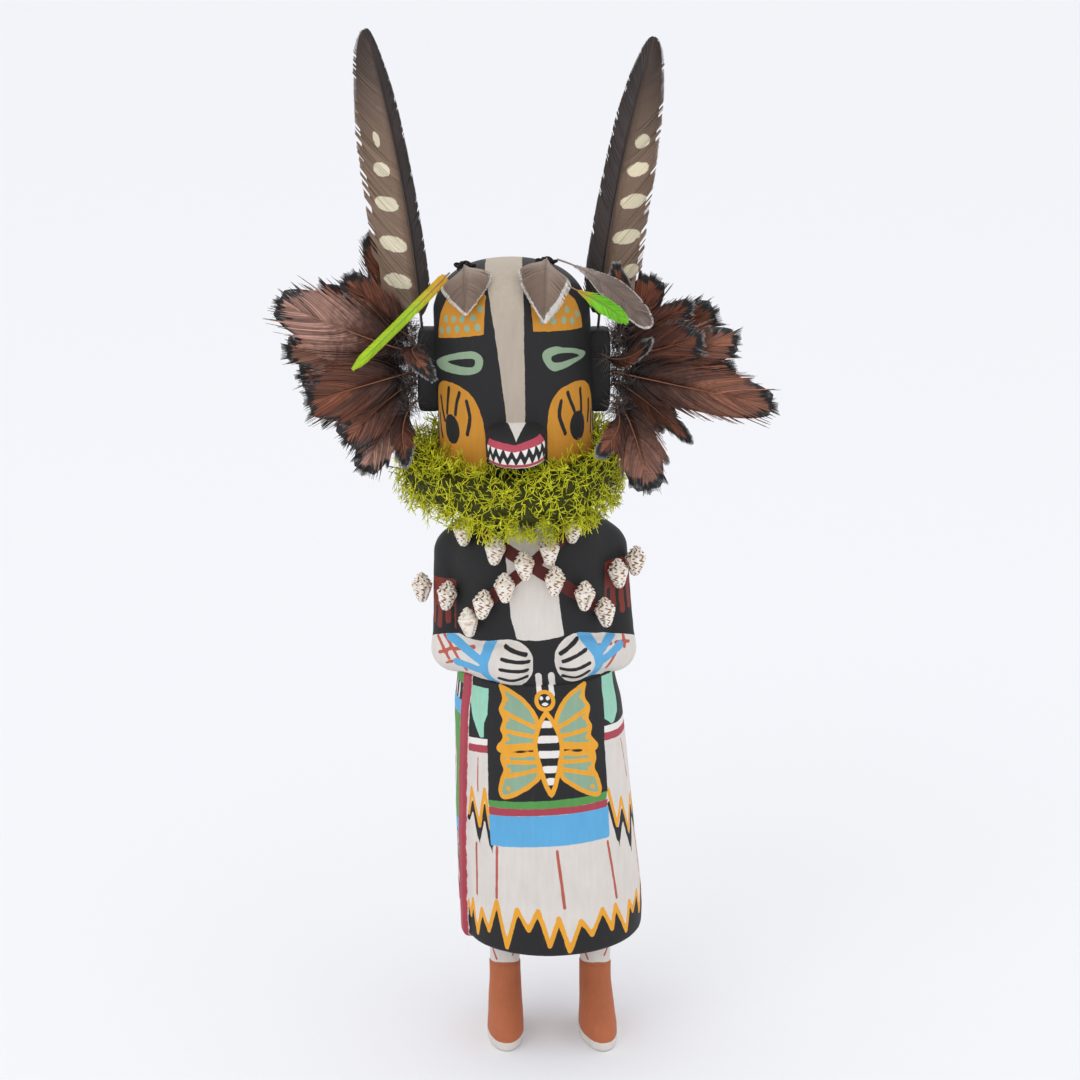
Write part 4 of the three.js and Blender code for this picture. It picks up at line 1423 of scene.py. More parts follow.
@dataclass
class Snout:
    """The glued snout with bared teeth."""

    x: float = -15.1
    y: float = -36.0
    half_width: float = 13.2
    half_depth: float = 14.0
    foot: float = 283.2
    slope: float = 0.3
    reach: float = 13.5
    mouth_end: float = 16.5
    outline: tuple[Point, ...] = (
        (0, 0.02), (0, 0.5), (0, 0.74), (0.5, 0.86), (2.2, 0.955), (6, 0.995), (9.5, 1), (12.4, 0.93),
        (14.6, 0.72),
        (15.4, 0.4), (15.6, 0.03),
    )

    def build(self) -> bpy.types.Object:
        """Makes and paints the snout."""
        spread = self.half_width
        z, radius, _ = turned([q[0] for q in self.outline], [q[1] * spread for q in self.outline], DETAIL)
        count = int(2 * math.pi * spread / DETAIL)
        angle = turns(count)
        share = radius[:, None] / spread
        x = self.x + share * spread * np.sin(angle)
        y = self.y - share * self.half_depth * np.cos(angle)
        lift = (z / z[-1])[:, None]
        high = self.foot + z[:, None] + (y - self.y + 2) * self.slope * lift
        flat = np.stack([x, y, high], -1).reshape(-1, 3)
        flat += 0.12 * unevenness(flat, 14, 6)[:, None] * unit(flat - [self.x, self.y, self.foot + 7])
        ends = [[self.x, self.y, self.foot], [self.x, self.y, self.foot + z[-1] + 2 * self.slope]]
        piece = make_piece("snout_carving", np.vstack([flat, ends]), capped(len(z), count))
        turn = wrapped(angle) * self.reach
        across = np.append((turn[None, :] + 0 * high).ravel(), [0, 0])
        self.round = Chart(across, np.append(high.ravel(), [self.foot, self.foot + 16]))
        self.plan = Chart(np.append(x.ravel() - self.x, [0, 0]), np.append(y.ravel(), [self.y, self.y]))
        self.height = np.append((z[:, None] + 0 * high).ravel(), [0, 16])
        PaintedWood("painted snout", Paint.BLACK, 0.05).dress(piece, self._coats())
        return finish_piece(piece, "snout_paint", "snout")

    def _coats(self) -> list[Coat]:
        """The paint of the snout: its blaze, teeth and lips."""
        skin = self.round
        top = [
            (-22, 296), (-16, 294.9), (-7.9, 294.6), (-0.6, 293.9), (4.8, 294.9), (14.1, 296.2), (22, 297.5),
        ]
        gum = [(s, z - 2.7) for s, z in top]
        jaw = [(-22, 287), (-13, 285.8), (-5.8, 285.3), (-0.7, 285.5), (4.8, 285.6), (11, 286.2), (22, 288)]
        chin = [(s, z - 1.5) for s, z in jaw]
        upper, lower = [], []
        for i in range(9):
            s = -15.6 + 3.9 * i
            root = float(np.interp(s, *np.array(gum).T))
            upper.append([(s - 1.75, root + 0.5), (s + 1.75, root + 0.5), (s + 0.15, root - 3.3)])
            below = float(np.interp(s + 1.9, *np.array(jaw).T))
            lower.append([(s + 0.2, below - 0.4), (s + 3.7, below - 0.4), (s + 2.0, below + 3.2)])
        stripe = [(-4.6, -20), (-3.6, -34), (0, -47.2), (4.2, -34), (4.8, -20)]
        mouth = np.abs(skin.across) - self.mouth_end
        lips = either(
            both(skin.under(top), -skin.under(gum)),
            both(skin.under(jaw), -skin.under(chin)),
        )
        return [
            Coat(Paint.CREAM, both(self.plan.shape(stripe), 13.2 - self.height), 0.2),
            Coat(Paint.WHITE, both(either(skin.shapes(upper), skin.shapes(lower)), mouth), 0.15),
            Coat(Paint.LIP, both(lips, mouth), 0.2),
            Coat(Paint.WHITE, both(skin.under(chin), mouth, 283.0 - skin.up), 0.2),
        ]


@dataclass
class Boots:
    """The two legs in their boots, with pale soles."""

    legs: tuple[Point, ...] = ((-21.0, 0.02), (20.4, 0.08))
    top: float = 56.0
    count: int = 96
    toe_out: float = 1.6
    sole_middle: float = 10.3
    shank: float = 7.3
    outline: Stations = Stations(
        (
            (0, -10.3, 7.9, 18.9),
            (1.2, -10.3, 8.35, 19.35),
            (3.3, -10.3, 8.4, 19.4),
            (6.5, -10, 8.3, 19),
            (11, -8.4, 8, 16.8),
            (16, -5.6, 7.7, 13.4),
            (22, -2.6, 7.4, 10),
            (28, -1, 7.2, 8.2),
            (33, -0.6, 7.2, 7.6),
            (33.8, -0.5, 6.8, 7.2),
            (60, 0, 7.2, 7.4),
        )
    )

    def build(self) -> None:
        """Makes and paints both legs."""
        for side, (x, splay) in zip(("right", "left"), self.legs):
            count = self.count
            angle = turns(count)
            heights = np.concatenate([[0, 0, 0, 0.25, 0.7], np.arange(1.2, self.top, 0.6)])
            rounded = [0.3, 0.7, 0.94, 0.985, 0.998, 1.0]
            shrink = np.interp(np.arange(len(heights)), np.arange(len(rounded)), rounded)
            z = heights[:, None] + 0 * angle
            centre, wide, deep = self.outline.at(z)
            px = x + wide * shrink[:, None] * np.sin(angle)
            py = centre - deep * shrink[:, None] * np.cos(angle)
            flat = np.stack([px - py * splay * self.toe_out, py, z], -1).reshape(-1, 3)
            way = np.stack([np.sin(angle), -np.cos(angle), 0 * angle], -1)
            bump = 0.16 * unevenness(flat, 16, x) * (flat[:, 2] > 0.5)
            flat += (way[None] + 0 * z[..., None]).reshape(-1, 3) * bump[:, None]
            ends = [[x + self.sole_middle * splay * self.toe_out, -self.sole_middle, 0], [x, 0, self.top]]
            piece = make_piece(f"boot_{side}", np.vstack([flat, ends]), capped(len(heights), count))
            turn = wrapped(angle) * self.shank
            skin = Chart(np.append((turn + 0 * z).ravel(), [0, 0]), np.append(z.ravel(), [0, self.top]))
            PaintedWood(f"painted boot {side}", Paint.CREAM).dress(piece, self._coats(skin))
            finish_piece(piece, "painted_cottonwood", "carved_figure")

    def _coats(self, skin: Chart) -> list[Coat]:
        """The paint of one boot."""
        cuff = 34.4 + 0.5 * np.cos(skin.across / 3)
        upper = both(skin.up - cuff, 4.4 - skin.up)
        threads = [
            curved([(-9, 50), (-7.5, 42), (-4.6, 36)], 3), curved([(9, 52), (7.4, 44), (3.8, 38)], 3),
            [(-15, 50), (-13, 38)], [(15, 50), (16, 37)],
        ]
        line = both(skin.lines(threads, 1.1), cuff - skin.up)
        return [Coat(Paint.TERRACOTTA, upper, 0.3), Coat(Paint.RUSSET, line, 0.2)]


@dataclass(frozen=True)
class Ears:
    """The black wooden ear tabs that carry the feathers."""

    rows: int = 15
    count: int = 48
    roundness: float = 0.3

    def _squared(self, wave: Array) -> Array:
        """Turns a sine wave into the side of a rounded block."""
        return np.sign(wave) * np.abs(wave) ** self.roundness

    def build(self) -> None:
        """Makes both ears."""
        for name in ("ear_right", "ear_left"):
            low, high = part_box(name)
            box = (np.array([low, high]) - ORIGIN) / MM
            size = (box[1] - box[0]) / 2
            middle = (box[0] + box[1]) / 2
            u = np.linspace(-math.pi / 2, math.pi / 2, self.rows)[1:-1]
            v = turns(self.count)
            ring = self._squared(np.cos(u))[:, None]
            x = middle[0] + size[0] * ring * self._squared(np.cos(v))
            y = middle[1] + size[1] * ring * self._squared(np.sin(v))
            z = middle[2] + size[2] * self._squared(np.sin(u))[:, None] + 0 * x
            flat = np.stack([x, y, z], -1).reshape(-1, 3)
            ends = [[middle[0], middle[1], box[0][2]], [middle[0], middle[1], box[1][2]]]
            piece = make_piece(f"{name}_tab", np.vstack([flat, ends]), capped(len(u), self.count))
            PaintedWood(f"painted {name}", Paint.BLACK, 0.05).dress(piece, [])
            finish_piece(piece, "black_wood", name)


# ---------------------------------------------------------------- feathers


class Kind(Enum):
    """The shapes of feather."""

    BODY = "body"
    WING = "wing"
    COVERT = "covert"
    STRIP = "strip"


QUILL = 0.55  # half width in mm of a bare quill
BARB_SIDES = 3


@dataclass(frozen=True)
class Vane:
    """How the half width of a feather's vane changes along it.

    Args:
        kind: The shape of feather.
        half_width: The greatest half width in mm.
        tip: Share of the length over which it closes.
    """

    kind: Kind
    half_width: float
    tip: float = 0.3

    def at(self, share: Array) -> Array:
        """Half width in mm at shares of the length."""
        if self.kind is Kind.STRIP:
            return self.half_width * ease(0.0, 0.04, share) * np.sqrt(1 - 0.9 * ease(0.9, 1.0, share))
        start, full = {Kind.BODY: (0.13, 0.62), Kind.WING: (0.0, 0.12), Kind.COVERT: (0.0, 0.4)}[self.kind]
        tip = 0.62 if self.kind is Kind.COVERT else self.tip
        to_tip = np.clip((share - (1 - tip)) / tip, 0, 1)
        bend, round_off = {Kind.BODY: (2.8, 0.46), Kind.WING: (1.7, 0.5), Kind.COVERT: (1.7, 0.86)}[self.kind]
        close = np.maximum(1 - to_tip**bend, 0) ** round_off
        fade = 1 - 0.22 * share if self.kind is Kind.WING else 1.0
        return QUILL + (self.half_width - QUILL) * ease(start, full, share) * fade * close


class Strands:
    """Sweeps fine closed strands along lines, with Geometry Nodes."""

    def __init__(self) -> None:
        """Builds the tree once for every feather."""
        self.tree = bpy.data.node_groups.new("strands", "GeometryNodeTree")
        face = self.tree.interface
        face.new_socket("Lines", in_out="INPUT", socket_type="NodeSocketGeometry")
        sides = face.new_socket("Sides", in_out="INPUT", socket_type="NodeSocketInt")
        coat = face.new_socket("Finish", in_out="INPUT", socket_type="NodeSocketMaterial")
        face.new_socket("Strands", in_out="OUTPUT", socket_type="NodeSocketGeometry")
        self.sides, self.coat = sides.identifier, coat.identifier
        add, link = self.tree.nodes.new, self.tree.links.new
        entry, end = add("NodeGroupInput"), add("NodeGroupOutput")
        to_curve, ring = add("GeometryNodeMeshToCurve"), add("GeometryNodeCurvePrimitiveCircle")
        thick, radius = add("GeometryNodeInputNamedAttribute"), add("GeometryNodeSetCurveRadius")
        sweep, whole = add("GeometryNodeCurveToMesh"), add("GeometryNodeRealizeInstances")
        dress = add("GeometryNodeSetMaterial")
        thick.data_type = "FLOAT"
        thick.inputs["Name"].default_value = "thick"
        ring.inputs["Radius"].default_value = 1.0
        sweep.inputs["Fill Caps"].default_value = True
        for source, out, target, into in (
            (entry, "Lines", to_curve, "Mesh"),
            (entry, "Sides", ring, "Resolution"),
            (to_curve, "Curve", radius, "Curve"),
            (thick, "Attribute", radius, "Radius"),
            (radius, "Curve", sweep, "Curve"),
            (ring, "Curve", sweep, "Profile Curve"),
            (thick, "Attribute", sweep, "Scale"),
            (sweep, "Mesh", whole, "Geometry"),
            (whole, "Geometry", dress, "Geometry"),
            (entry, "Finish", dress, "Material"),
            (dress, "Geometry", end, "Strands"),
        ):
            link(source.outputs[out], target.inputs[into])

    def sweep(self, lines: Array, fields: dict[str, Array], finish: bpy.types.Material) -> bpy.types.Mesh:
        """Makes strands along lines.

        Args:
            lines: Points in mm, indexed by line, point and axis.
            fields: Values at the same points; thick is the strand's radius in mm.
            finish: The strands' material.

        Returns:
            A plain mesh in mm.
        """
        count, length, _ = lines.shape
        number = np.arange(count * length).reshape(count, length)
        edges = np.stack([number[:, :-1], number[:, 1:]], -1).reshape(-1, 2)
        mesh = bpy.data.meshes.new("lines")
        mesh.from_pydata(lines.reshape(-1, 3).tolist(), edges.tolist(), [])
        for key, values in fields.items():
            store(mesh, key, values)
        return run_tree(mesh, self.tree, {self.sides: BARB_SIDES, self.coat: finish})


def mesh_arrays(mesh: bpy.types.Mesh, keys: Iterable[str]) -> tuple[Array, list[list[int]], dict[str, Array]]:
    """Reads a mesh back.

    Args:
        mesh: The mesh.
        keys: Names of the values stored on its vertices.

    Returns:
        Its vertices, faces and values.
    """
    points = np.zeros(len(mesh.vertices) * 3)
    mesh.vertices.foreach_get("co", points)
    fields = {}
    for key in keys:
        values = np.zeros(len(mesh.vertices))
        mesh.attributes[key].data.foreach_get("value", values)
        fields[key] = values
    return points.reshape(-1, 3), [list(face.vertices) for face in mesh.polygons], fields


@dataclass
class Feather:
    """One feather: a shaft, two vanes of barbs that cling together in clumps, and a thin web.

    Args:
        node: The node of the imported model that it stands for.
        base: Foot of the quill.
        bend: Where the shaft bends to.
        tip: End of the shaft.
        left: The vane on one side.
        right: The vane on the other side.
        cup: How far the edges fall behind the shaft.
        face: The way that its front looks.
        loose: How ragged its barbs are, from 0 to 1.
        clumps: Mean number of barbs that cling together.
        lean: How far a barb leans toward the tip for each mm that it reaches out.
        spacing: Distance between barbs along the shaft.
        thick: Radius of a barb.
        web: Share of the vane that the web behind the barbs fills.
        shaft: Radius of the quill at its foot.
        fluff: Number of loose downy hairs at the root.
    """

    node: str
    base: Point
    bend: Point
    tip: Point
    left: Vane
    right: Vane
    cup: float = 1.2
    face: Point = (0, -1, 0.1)
    loose: float = 0.5
    clumps: float = 7.0
    lean: float = 1.1
    spacing: float = 0.46
    thick: float = 0.25
    web: float = 0.86
    shaft: float = 0.75
    fluff: int = 0

    def _shaft(self, share: Array) -> tuple[Array, Array, Array]:
        """Place, across and front of the shaft at shares of its length."""
        a, b, c = (np.array(q, float) for q in (self.base, self.bend, self.tip))
        t = np.asarray(share, float)[..., None]
        place = (1 - t) ** 2 * a + 2 * t * (1 - t) * b + t**2 * c
        along = unit(2 * (1 - t) * (b - a) + 2 * t * (c - b))
        across = unit(np.cross(along, np.array(self.face, float)))
        return place, across, unit(np.cross(across, along))

    def length(self) -> float:
        """Length of the shaft in mm."""
        place = self._shaft(np.linspace(0, 1, 40))[0]
        return float(np.linalg.norm(np.diff(place, axis=0), axis=1).sum())

    def _on_vane(self, share: Array, out: Array, widest: Array) -> Array:
        """Places on the cupped vane, out mm from the shaft."""
        place, across, front = self._shaft(np.clip(share, 0, 1))
        beyond = np.maximum(share - 1, 0) * self.length()
        tangent = unit(np.cross(front, across))
        fall = self.cup * (out / widest) ** 2 * np.sin(math.pi * np.minimum(share + 0.1, 1))
        return place + across * out[..., None] - front * fall[..., None] + tangent * beyond[..., None]

    def _meets_edge(self, vane: Vane, root: Array) -> tuple[Array, Array]:
        """Where the barbs from given roots meet the edge of the vane.

        Args:
            vane: The vane.
            root: Shares of the length at which the barbs leave the shaft.

        Returns:
            Share of the length and distance from the shaft, in mm.
        """
        long = self.length()
        angle = math.atan2(1, self.lean) * (1 - 0.9 * ease(0.8, 1.0, root))
        run = np.linspace(0, 4 * vane.half_width, 160)[None, :]
        share = root[:, None] + run * np.cos(angle)[:, None] / long
        out = run * np.sin(angle)[:, None]
        beyond = (out > vane.at(np.minimum(share, 1))) | (share > 1)
        stop = np.where(beyond.any(axis=1), beyond.argmax(axis=1), run.size - 1)
        row = np.arange(len(root))
        return share[row, stop], out[row, stop]

    def _barbs(self, draw: np.random.Generator) -> tuple[Array, dict[str, Array]]:
        """Lines and values of every barb."""
        long = self.length()
        lines, fields = [], {"along": [], "out": [], "bar": [], "rim": [], "fluff": [], "thick": []}
        for side, vane in ((-1, self.left), (1, self.right)):
            start = 0.16 if vane.kind is Kind.BODY else 0.03
            count = int(long * (0.985 - start) / self.spacing)
            root = np.linspace(start + 0.02 * draw.random(), 0.985, count)
            end, wide = self._meets_edge(vane, root)
            clump = np.cumsum(draw.random(count) < 1 / self.clumps)
            sway = draw.normal(0, 1, clump[-1] + 1)[clump] * self.loose
            trim = draw.random(clump[-1] + 1)[clump]
            place_in = np.zeros(count)
            for c in range(clump[-1] + 1):
                members = np.flatnonzero(clump == c)
                place_in[members] = np.linspace(-0.5, 0.5, len(members)) if len(members) > 1 else 0
            reach = 1 - self.loose * (0.15 * trim**2 + 0.08 * draw.random(count))
            shift = (0.22 * sway - 0.7 * self.loose * place_in) * wide / long
            end = root + (end + shift - root) * reach
            q = np.linspace(0, 1, 6)[None, :]
            share = root[:, None] + (end - root)[:, None] * q**1.2
            out = side * (wide * reach)[:, None] * q**0.88
            widest = np.maximum(vane.at(np.clip(share, 0, 0.96)), 2.0)
            points = self._on_vane(share, out, widest)
            front = self._shaft(np.clip(share, 0, 1))[2]
            lift = draw.normal(0, 0.12 + 0.35 * self.loose, (count, 1)) * q + 0.10 * draw.random((count, 1))
            lines.append(points + front * lift[..., None])
            bar = draw.random(clump[-1] + 1)[clump] * 0.6 + draw.random(count) * 0.4
            fields["along"].append(share * long)
            fields["out"].append(out)
            fields["bar"].append(np.broadcast_to(bar[:, None], out.shape))
            steps = np.linalg.norm(np.diff(lines[-1], axis=1), axis=2)
            left_over = np.cumsum(steps[:, ::-1], axis=1)[:, ::-1]
            fields["rim"].append(np.hstack([left_over, np.zeros((count, 1))]))
            fields["fluff"].append(0 * out)
            taper = self.thick * (1 - 0.62 * q**3)
            fields["thick"].append(np.broadcast_to(taper, out.shape))
        if self.fluff:
            hairs, values = self._fluff(draw)
            lines.append(hairs)
            for key, value in values.items():
                fields[key].append(value)
        return np.concatenate(lines), {key: np.concatenate(v) for key, v in fields.items()}

    def _fluff(self, draw: np.random.Generator) -> tuple[Array, dict[str, Array]]:
        """Lines and values of the loose downy hairs at the root."""
        count = self.fluff
        root = 0.01 + 0.33 * draw.random(count)
        place, across, front = self._shaft(root)
        along = unit(np.cross(front, across))
        turn = draw.random((count, 1)) * 2 * math.pi
        out = across * np.cos(turn) + front * np.sin(turn) * 0.8
        way = unit(out + along * draw.uniform(-0.9, 0.9, (count, 1)))
        side = unit(np.cross(way, draw.normal(0, 1, (count, 3))))
        q = np.linspace(0, 1, 6)[None, :, None]
        reach = draw.uniform(3.0, 8.5, (count, 1, 1))
        curl = 0.7 * np.sin(q * draw.uniform(3, 7, (count, 1, 1)) + 6.3 * draw.random((count, 1, 1)))
        curl = (curl + q * draw.normal(0, 1.6, (count, 1, 1))) * q
        lines = place[:, None] + way[:, None] * reach * q + side[:, None] * curl
        flat = np.zeros((count, 6))
        tone = draw.random((count, 1)) + flat
        return lines, {
            "along": flat,
            "out": flat,
            "bar": tone,
            "rim": flat + 9,
            "fluff": flat + 1,
            "thick": 0.13 * (1 - 0.6 * q[:, :, 0]) + flat,
        }

    def _web(self) -> tuple[Array, list[list[int]], dict[str, Array]]:
        """A thin closed sheet a little narrower than the vane, and the quill."""
        long = self.length()
        body = self.left.kind is Kind.BODY
        first, last = (0.2 if body else 0.05), 1 - 1.6 / long
        share = first + (last - first) * (1 - (1 - np.linspace(0, 1, 48)[:, None]) ** 1.6)
        across = np.linspace(-1, 1, 13)[None, :]
        full = np.where(across < 0, self.left.at(share), self.right.at(share))
        wide = full * self.web
        out = across * wide
        top = self._on_vane(share + 0 * across, out, np.maximum(wide, 2))
        front = self._shaft(share + 0 * across)[2]
        sheets = np.stack([top - front * 0.1, top - front * 0.26])
        rows, columns = out.shape
        face = grid_faces(rows, columns, closed=False)
        back = face[:, ::-1] + rows * columns
        ring = [*range(columns), *(r * columns + columns - 1 for r in range(1, rows))]
        ring += [(rows - 1) * columns + c for c in range(columns - 2, -1, -1)]
        ring += [r * columns for r in range(rows - 2, 0, -1)]
        shift = rows * columns
        rim = [[a + shift, b + shift, b, a] for a, b in zip(ring, ring[1:] + ring[:1])]
        faces = [list(map(int, q)) for q in np.vstack([face, back])] + rim
        points = sheets.reshape(-1, 3)
        along = np.tile((share * long + 0 * across).ravel(), 2)
        nothing = np.zeros(len(along))
        rim = np.minimum(full - np.abs(out), (1 - share) * long)
        fields = {
            "along": along,
            "out": np.tile(out.ravel(), 2),
            "bar": nothing + 0.35,
            "rim": np.tile(rim.ravel(), 2),
            "fluff": nothing,
            "quill": nothing,
        }
        t = np.linspace(0, 0.95, 36)
        place, side, front = self._shaft(t)
        thick = self.shaft * (1 - 0.8 * t)
        turn = np.arange(8) * math.pi / 4
        spoke = spokes(side, front, turn)
        tube = (place[:, None] + front[:, None] * 0.1 + spoke * thick[:, None, None]).reshape(-1, 3)
        ends = np.stack([place[0], place[-1]])
        tube_faces = [[i + len(points) for i in f] for f in capped(len(t), 8)]
        points = np.vstack([points, tube, ends])
        more = {
            "along": np.append(np.repeat(t * long, 8), [0, long]),
            "out": np.zeros(len(t) * 8 + 2),
            "bar": np.full(len(t) * 8 + 2, 0.5),
            "rim": np.full(len(t) * 8 + 2, 9.0),
            "fluff": np.zeros(len(t) * 8 + 2),
            "quill": np.ones(len(t) * 8 + 2),
        }
        return points, faces + tube_faces, {key: np.append(fields[key], more[key]) for key in fields}

    def build(self, strands: Strands, finish: bpy.types.Material, slot: str, seed: int) -> bpy.types.Object:
        """Makes the feather.

        Args:
            strands: The tree that sweeps the barbs.
            finish: Its material.
            slot: The record's slot.
            seed: Seed of its irregularity.

        Returns:
            The finished piece.
        """
        draw = np.random.default_rng(seed)
        lines, values = self._barbs(draw)
        swept = strands.sweep(lines, values, finish)
        points, faces, fields = mesh_arrays(swept, ("along", "out", "bar", "rim", "fluff"))
        fields["quill"] = np.zeros(len(points))
        bpy.data.meshes.remove(swept)
        web_points, web_faces, web_fields = self._web()
        shift = len(points)
        faces += [[i + shift for i in face] for face in web_faces]
        fields = {key: np.append(fields[key], web_fields[key]) for key in fields}
        piece = make_piece(f"{self.node}_vane", np.vstack([points, web_points]), faces, fields)
        piece.data.materials.append(finish)
        return finish_piece(piece, slot, self.node)


@dataclass(frozen=True)
class BodyPlumage:
    """Rust body feathers with a black end band, a pale fringe and grey down at the root."""

    name: str
    length: float
    root: Colour = (30, 20, 17)
    middle: Colour = (84, 47, 34)
    outer: Colour = (150, 90, 62)
    band: Colour = (38, 37, 39)
    fringe: Colour = (168, 164, 162)
    down: Colour = (50, 38, 35)
    pale_down: Colour = (150, 138, 134)
    band_width: float = 5.2

    def material(self) -> bpy.types.Material:
        """Builds the finish."""
        graph = Graph(self.name)
        along, bar, quill = graph.field("along"), graph.field("bar"), graph.field("quill")
        rim, fluff = graph.field("rim"), graph.field("fluff")
        stray = graph.noise(420, 2) - 0.5
        share = along / self.length + stray * 0.3
        colour = graph.mix(linear(self.root), linear(self.middle), share.step(0.26, 0.56))
        # Toward its end the feather takes its outer colour; on the palest feathers that colour is partly
        # painted sheen.
        colour = graph.mix(colour, linear(self.outer), share.step(0.5, 0.86) * (0.4 + bar * 0.6))
        near_end = (self.length - along + stray * 3.0).step(self.band_width + 7.0, self.band_width + 1.0)
        edge = rim + stray * 2.6 + (bar - 0.5) * 1.6
        dark = edge.step(self.band_width, self.band_width - 1.4) * near_end
        colour = graph.mix(colour, linear(self.band), dark)
        colour = graph.mix(colour, linear(self.fringe), edge.step(1.9, 0.5) * near_end * 0.9)
        colour = graph.mix(colour, graph.grey(0.36 + bar * 1.0), 0.9, "MULTIPLY")
        colour = graph.mix(colour, linear((158, 108, 80)), quill * 0.8)
        hair = graph.mix(linear(self.down), linear(self.pale_down), bar * bar * 0.7)
        colour = graph.mix(colour, hair, fluff)
        return graph.surface(colour, 0.4 + bar * 0.2, None, Specular_IOR_Level=0.5)


@dataclass(frozen=True)
class WingPlumage:
    """Brown wing feathers with cream spots on one vane and a dark other vane.

    Args:
        name: The material's name.
        broad_side: Sign of the side with the broad vane.
        spots: Cream spots: length along the shaft, place across, half length and half width, in mm.
        length: Length of the shaft.
    """

    name: str
    broad_side: int
    spots: tuple[Point, ...]
    length: float

    def material(self) -> bpy.types.Material:
        """Builds the finish."""
        graph = Graph(self.name)
        along, out = graph.field("along"), graph.field("out")
        bar, quill = graph.field("bar"), graph.field("quill")
        stray = graph.noise(500, 3) - 0.5
        broad = (out * float(self.broad_side)).step(-0.3, 0.3)
        shade = (along / self.length).step(0.55, 1.0)
        wide = graph.mix(linear((140, 116, 97)), linear((74, 60, 54)), shade)
        colour = graph.mix(linear((64, 55, 52)), wide, broad)
        spot: Socket | None = None
        for place, side, half_long, half_wide in self.spots:
            slant = (abs(out) - abs(side)) * 0.3
            a, b = (along - place - slant) / half_long, (out - side) / half_wide
            here = 1.0 - (a * a + b * b)
            spot = here if spot is None else spot.most(here)
        if spot is not None:
            colour = graph.mix(colour, linear((238, 228, 200)), (spot + stray * 0.8).step(0.0, 0.2) * broad)
        colour = graph.mix(colour, graph.grey(0.72 + bar * 0.45), 0.8, "MULTIPLY")
        colour = graph.mix(colour, linear((58, 48, 44)), quill * 0.85)
        return graph.surface(colour, 0.4 + bar * 0.15, None, Specular_IOR_Level=0.5)


@dataclass(frozen=True)
class EdgedPlumage:
    """Small feathers of one colour with an edge of another.

    Args:
        name: The material's name.
        length: Length of the shaft.
        root: Colour at the root.
        middle: Colour of the vane.
        edge: Colour of the edge.
        edges: Width of the edge on either vane in mm.
        quill: Colour of the quill.
    """

    name: str
    length: float
    root: Colour
    middle: Colour
    edge: Colour
    edges: tuple[float, float] = (0.8, 0.8)
    quill: Colour = (120, 106, 96)

    def material(self) -> bpy.types.Material:
        """Builds the finish."""
        graph = Graph(self.name)
        along, out, rim = graph.field("along"), graph.field("out"), graph.field("rim")
        bar, quill = graph.field("bar"), graph.field("quill")
        stray = graph.noise(700, 2) - 0.5
        share = along / self.length
        colour = graph.mix(linear(self.root), linear(self.middle), (share + stray * 0.2).step(0.1, 0.5))
        first, second = self.edges
        wide = out.step(-0.2, 0.2) * (second - first) + first
        edge = ((wide - rim + stray * 0.7) * 2.5 + 0.5).clamped() * share.step(0.2, 0.4)
        colour = graph.mix(colour, linear(self.edge), edge)
        colour = graph.mix(colour, graph.grey(0.74 + bar * 0.4), 0.8, "MULTIPLY")
        colour = graph.mix(colour, linear(self.quill), quill * 0.8)
        return graph.surface(colour, 0.5, None, Specular_IOR_Level=0.4)


# Outer colours of single feathers, paler than the rest; the pale pinks are partly the feathers' own colour
# and partly painted sheen.
OUTER_TONE_AND_SHEEN: dict[str, Colour] = {
    "bunch_feather_right_4": (214, 166, 148),
    "bunch_feather_right_5": (190, 136, 112),
    "bunch_feather_right_11": (206, 158, 142),
    "bunch_feather_right_9": (168, 110, 86),
    "bunch_feather_left_7": (176, 116, 90),
    "bunch_feather_left_11": (204, 146, 122),
    "bunch_feather_left_6": (172, 114, 88),
}
WING_SEED = SEED + 40
BROW_SEED = SEED + 60


